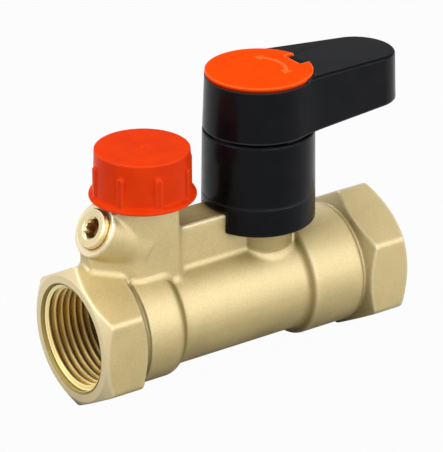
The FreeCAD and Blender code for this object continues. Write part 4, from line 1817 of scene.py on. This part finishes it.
@dataclass(frozen=True)
class Studio:
    """Camera, lamps, white surroundings and floor, in metres, degrees, pixels and watts."""

    azimuth: float = -34.436
    elevation: float = 25.156
    target: Triple = (0.054, 0.0, 0.015)
    shift_right: float = 0.001013
    shift_up: float = 0.007524
    distance: float = 0.8736
    focal_px: float = 2823.5
    image_width: int = 443
    sensor_width: float = 36.0
    clip_start: float = 0.01
    floor_z: float = -0.0239
    floor_half: float = 3.0
    floor_paint: float = 0.17
    floor_white: float = 0.97
    floor_mirrored: float = 0.95
    contact_reach: float = 0.07
    contact_samples: int = 8
    world_strength: float = 0.23
    lamps: tuple[Lamp, ...] = (
        Lamp("key_lamp", (0.20, -0.90, 0.42), width=1.1, height=0.9, power=8.1),
        Lamp("top_lamp", (0.0, 0.55, 0.95), width=0.7, height=0.7, power=4.6),
        Lamp("left_lamp", (-0.70, 0.05, 0.60), width=0.35, height=0.5, power=4.8),
        Lamp("right_lamp", (0.70, -0.50, 0.30), width=0.22, height=0.6, power=0.8),
    )

    def build(self) -> None:
        """Sets the camera, the surroundings, the floor and the lamps."""
        bpy.context.scene.view_settings.view_transform = "Standard"
        self.camera()
        self.world()
        self.floor()
        for lamp in self.lamps:
            self.light(lamp)

    def axes(self) -> tuple[Vector, Vector, Vector]:
        """Directions of the camera.

        Returns:
            Its right, up and back.
        """
        a, e = math.radians(self.azimuth), math.radians(self.elevation)
        back = Vector((math.sin(a) * math.cos(e), -math.cos(a) * math.cos(e), math.sin(e)))
        right = Vector((math.cos(a), math.sin(a), 0.0))
        return right, back.cross(right), back

    def camera(self) -> None:
        """Places the camera at the viewing angle that was fitted to the photo."""
        right, up, back = self.axes()
        data = bpy.data.cameras.new("view")
        data.sensor_fit = "HORIZONTAL"
        data.sensor_width = self.sensor_width
        data.lens = self.focal_px * self.sensor_width / self.image_width
        data.clip_start = self.clip_start
        camera = bpy.data.objects.new("view", data)
        turn = Matrix((right, up, back)).transposed().to_4x4()
        eye = Vector(self.target) + right * self.shift_right + up * self.shift_up + back * self.distance
        camera.matrix_world = Matrix.Translation(eye) @ turn
        bpy.context.scene.collection.objects.link(camera)
        bpy.context.scene.camera = camera

    @staticmethod
    def seen(tree: bpy.types.NodeTree, straight: float, mirrored: Number) -> Socket:
        """Share of white that rays of each kind see.

        Args:
            tree: Tree of a material or of the world.
            straight: Share for rays from the camera.
            mirrored: Share for reflections and glass.

        Returns:
            The share's socket.
        """
        path = tree.nodes.new("ShaderNodeLightPath")
        kinds = ("Camera", "Glossy", "Transmission")
        camera, glossy, through = (Scalar(tree, path.outputs[f"Is {kind} Ray"]) for kind in kinds)
        return greater(camera * straight, greater(glossy, through) * mirrored).socket

    def world(self) -> None:
        """White surroundings that light the valve evenly."""
        world = bpy.data.worlds.new("surroundings")
        world.use_nodes = True
        bpy.context.scene.world = world
        tree = world.node_tree
        tree.nodes.clear()
        output = tree.nodes.new("ShaderNodeOutputWorld")
        mix = tree.nodes.new("ShaderNodeMixShader")
        light = tree.nodes.new("ShaderNodeBackground")
        light.inputs["Strength"].default_value = self.world_strength
        white = tree.nodes.new("ShaderNodeBackground")
        white.inputs["Strength"].default_value = 1.0
        for node in (light, white):
            node.inputs["Color"].default_value = (1.0, 1.0, 1.0, 1.0)
        tree.links.new(self.seen(tree, 1.0, 1.0), mix.inputs["Fac"])
        tree.links.new(light.outputs["Background"], mix.inputs[1])
        tree.links.new(white.outputs["Background"], mix.inputs[2])
        tree.links.new(mix.outputs["Shader"], output.inputs["Surface"])

    def floor(self) -> None:
        """White floor that keeps a faint shadow, with a painted shadow close to the valve in what reflections
        see.
        """
        half = self.floor_half
        mesh = bpy.data.meshes.new("floor")
        corners = [(-half, -half, 0), (half, -half, 0), (half, half, 0), (-half, half, 0)]
        mesh.from_pydata(corners, [], [(0, 1, 2, 3)])
        mesh.transform(Matrix.Translation((0, 0, self.floor_z)))
        floor = bpy.data.objects.new("floor", mesh)
        bpy.context.scene.collection.objects.link(floor)
        material = bpy.data.materials.new("floor_white")
        material.use_nodes = True
        tree = material.node_tree
        tree.nodes.clear()
        output = tree.nodes.new("ShaderNodeOutputMaterial")
        paint = tree.nodes.new("ShaderNodeBsdfDiffuse")
        grey = self.floor_paint
        paint.inputs["Color"].default_value = (grey, grey, grey, 1.0)
        glow = tree.nodes.new("ShaderNodeEmission")
        mix = tree.nodes.new("ShaderNodeMixShader")
        shade = tree.nodes.new("ShaderNodeAmbientOcclusion")
        shade.samples = self.contact_samples
        shade.inputs["Distance"].default_value = self.contact_reach
        open_share = Scalar(tree, shade.outputs["AO"])
        # Painted shadow: the white that reflections see fades close to the valve.
        mirrored = open_share.math("POWER", 3.0) * self.floor_mirrored
        tree.links.new(self.seen(tree, self.floor_white, mirrored), mix.inputs["Fac"])
        tree.links.new(paint.outputs["BSDF"], mix.inputs[1])
        tree.links.new(glow.outputs["Emission"], mix.inputs[2])
        tree.links.new(mix.outputs["Shader"], output.inputs["Surface"])
        mesh.materials.append(material)

    def light(self, lamp: Lamp) -> None:
        """Adds a lamp aimed at the valve.

        Args:
            lamp: The lamp's place, size and power.
        """
        data = bpy.data.lights.new(lamp.name, "AREA")
        data.shape = "RECTANGLE"
        data.size = lamp.width
        data.size_y = lamp.height
        data.energy = lamp.power
        item = bpy.data.objects.new(lamp.name, data)
        aim = Vector(self.target) - Vector(lamp.place)
        item.matrix_world = Matrix.Translation(lamp.place) @ aim.to_track_quat("-Z", "Y").to_matrix().to_4x4()
        bpy.context.scene.collection.objects.link(item)


def main() -> None:
    """Builds the valve's pieces in order, then the studio."""
    logging.basicConfig(level=logging.INFO, format="%(name)s %(message)s")
    finishes = Finishes()
    ForgedBody(finishes, ForgingSizes()).build()
    DrainCock(finishes).build()
    DrainCap(finishes, CapSizes()).build()
    Handle(finishes, SignSizes()).build()
    BallSeats(finishes).build()
    Studio().build()
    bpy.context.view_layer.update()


if __name__ == "__main__":
    main()
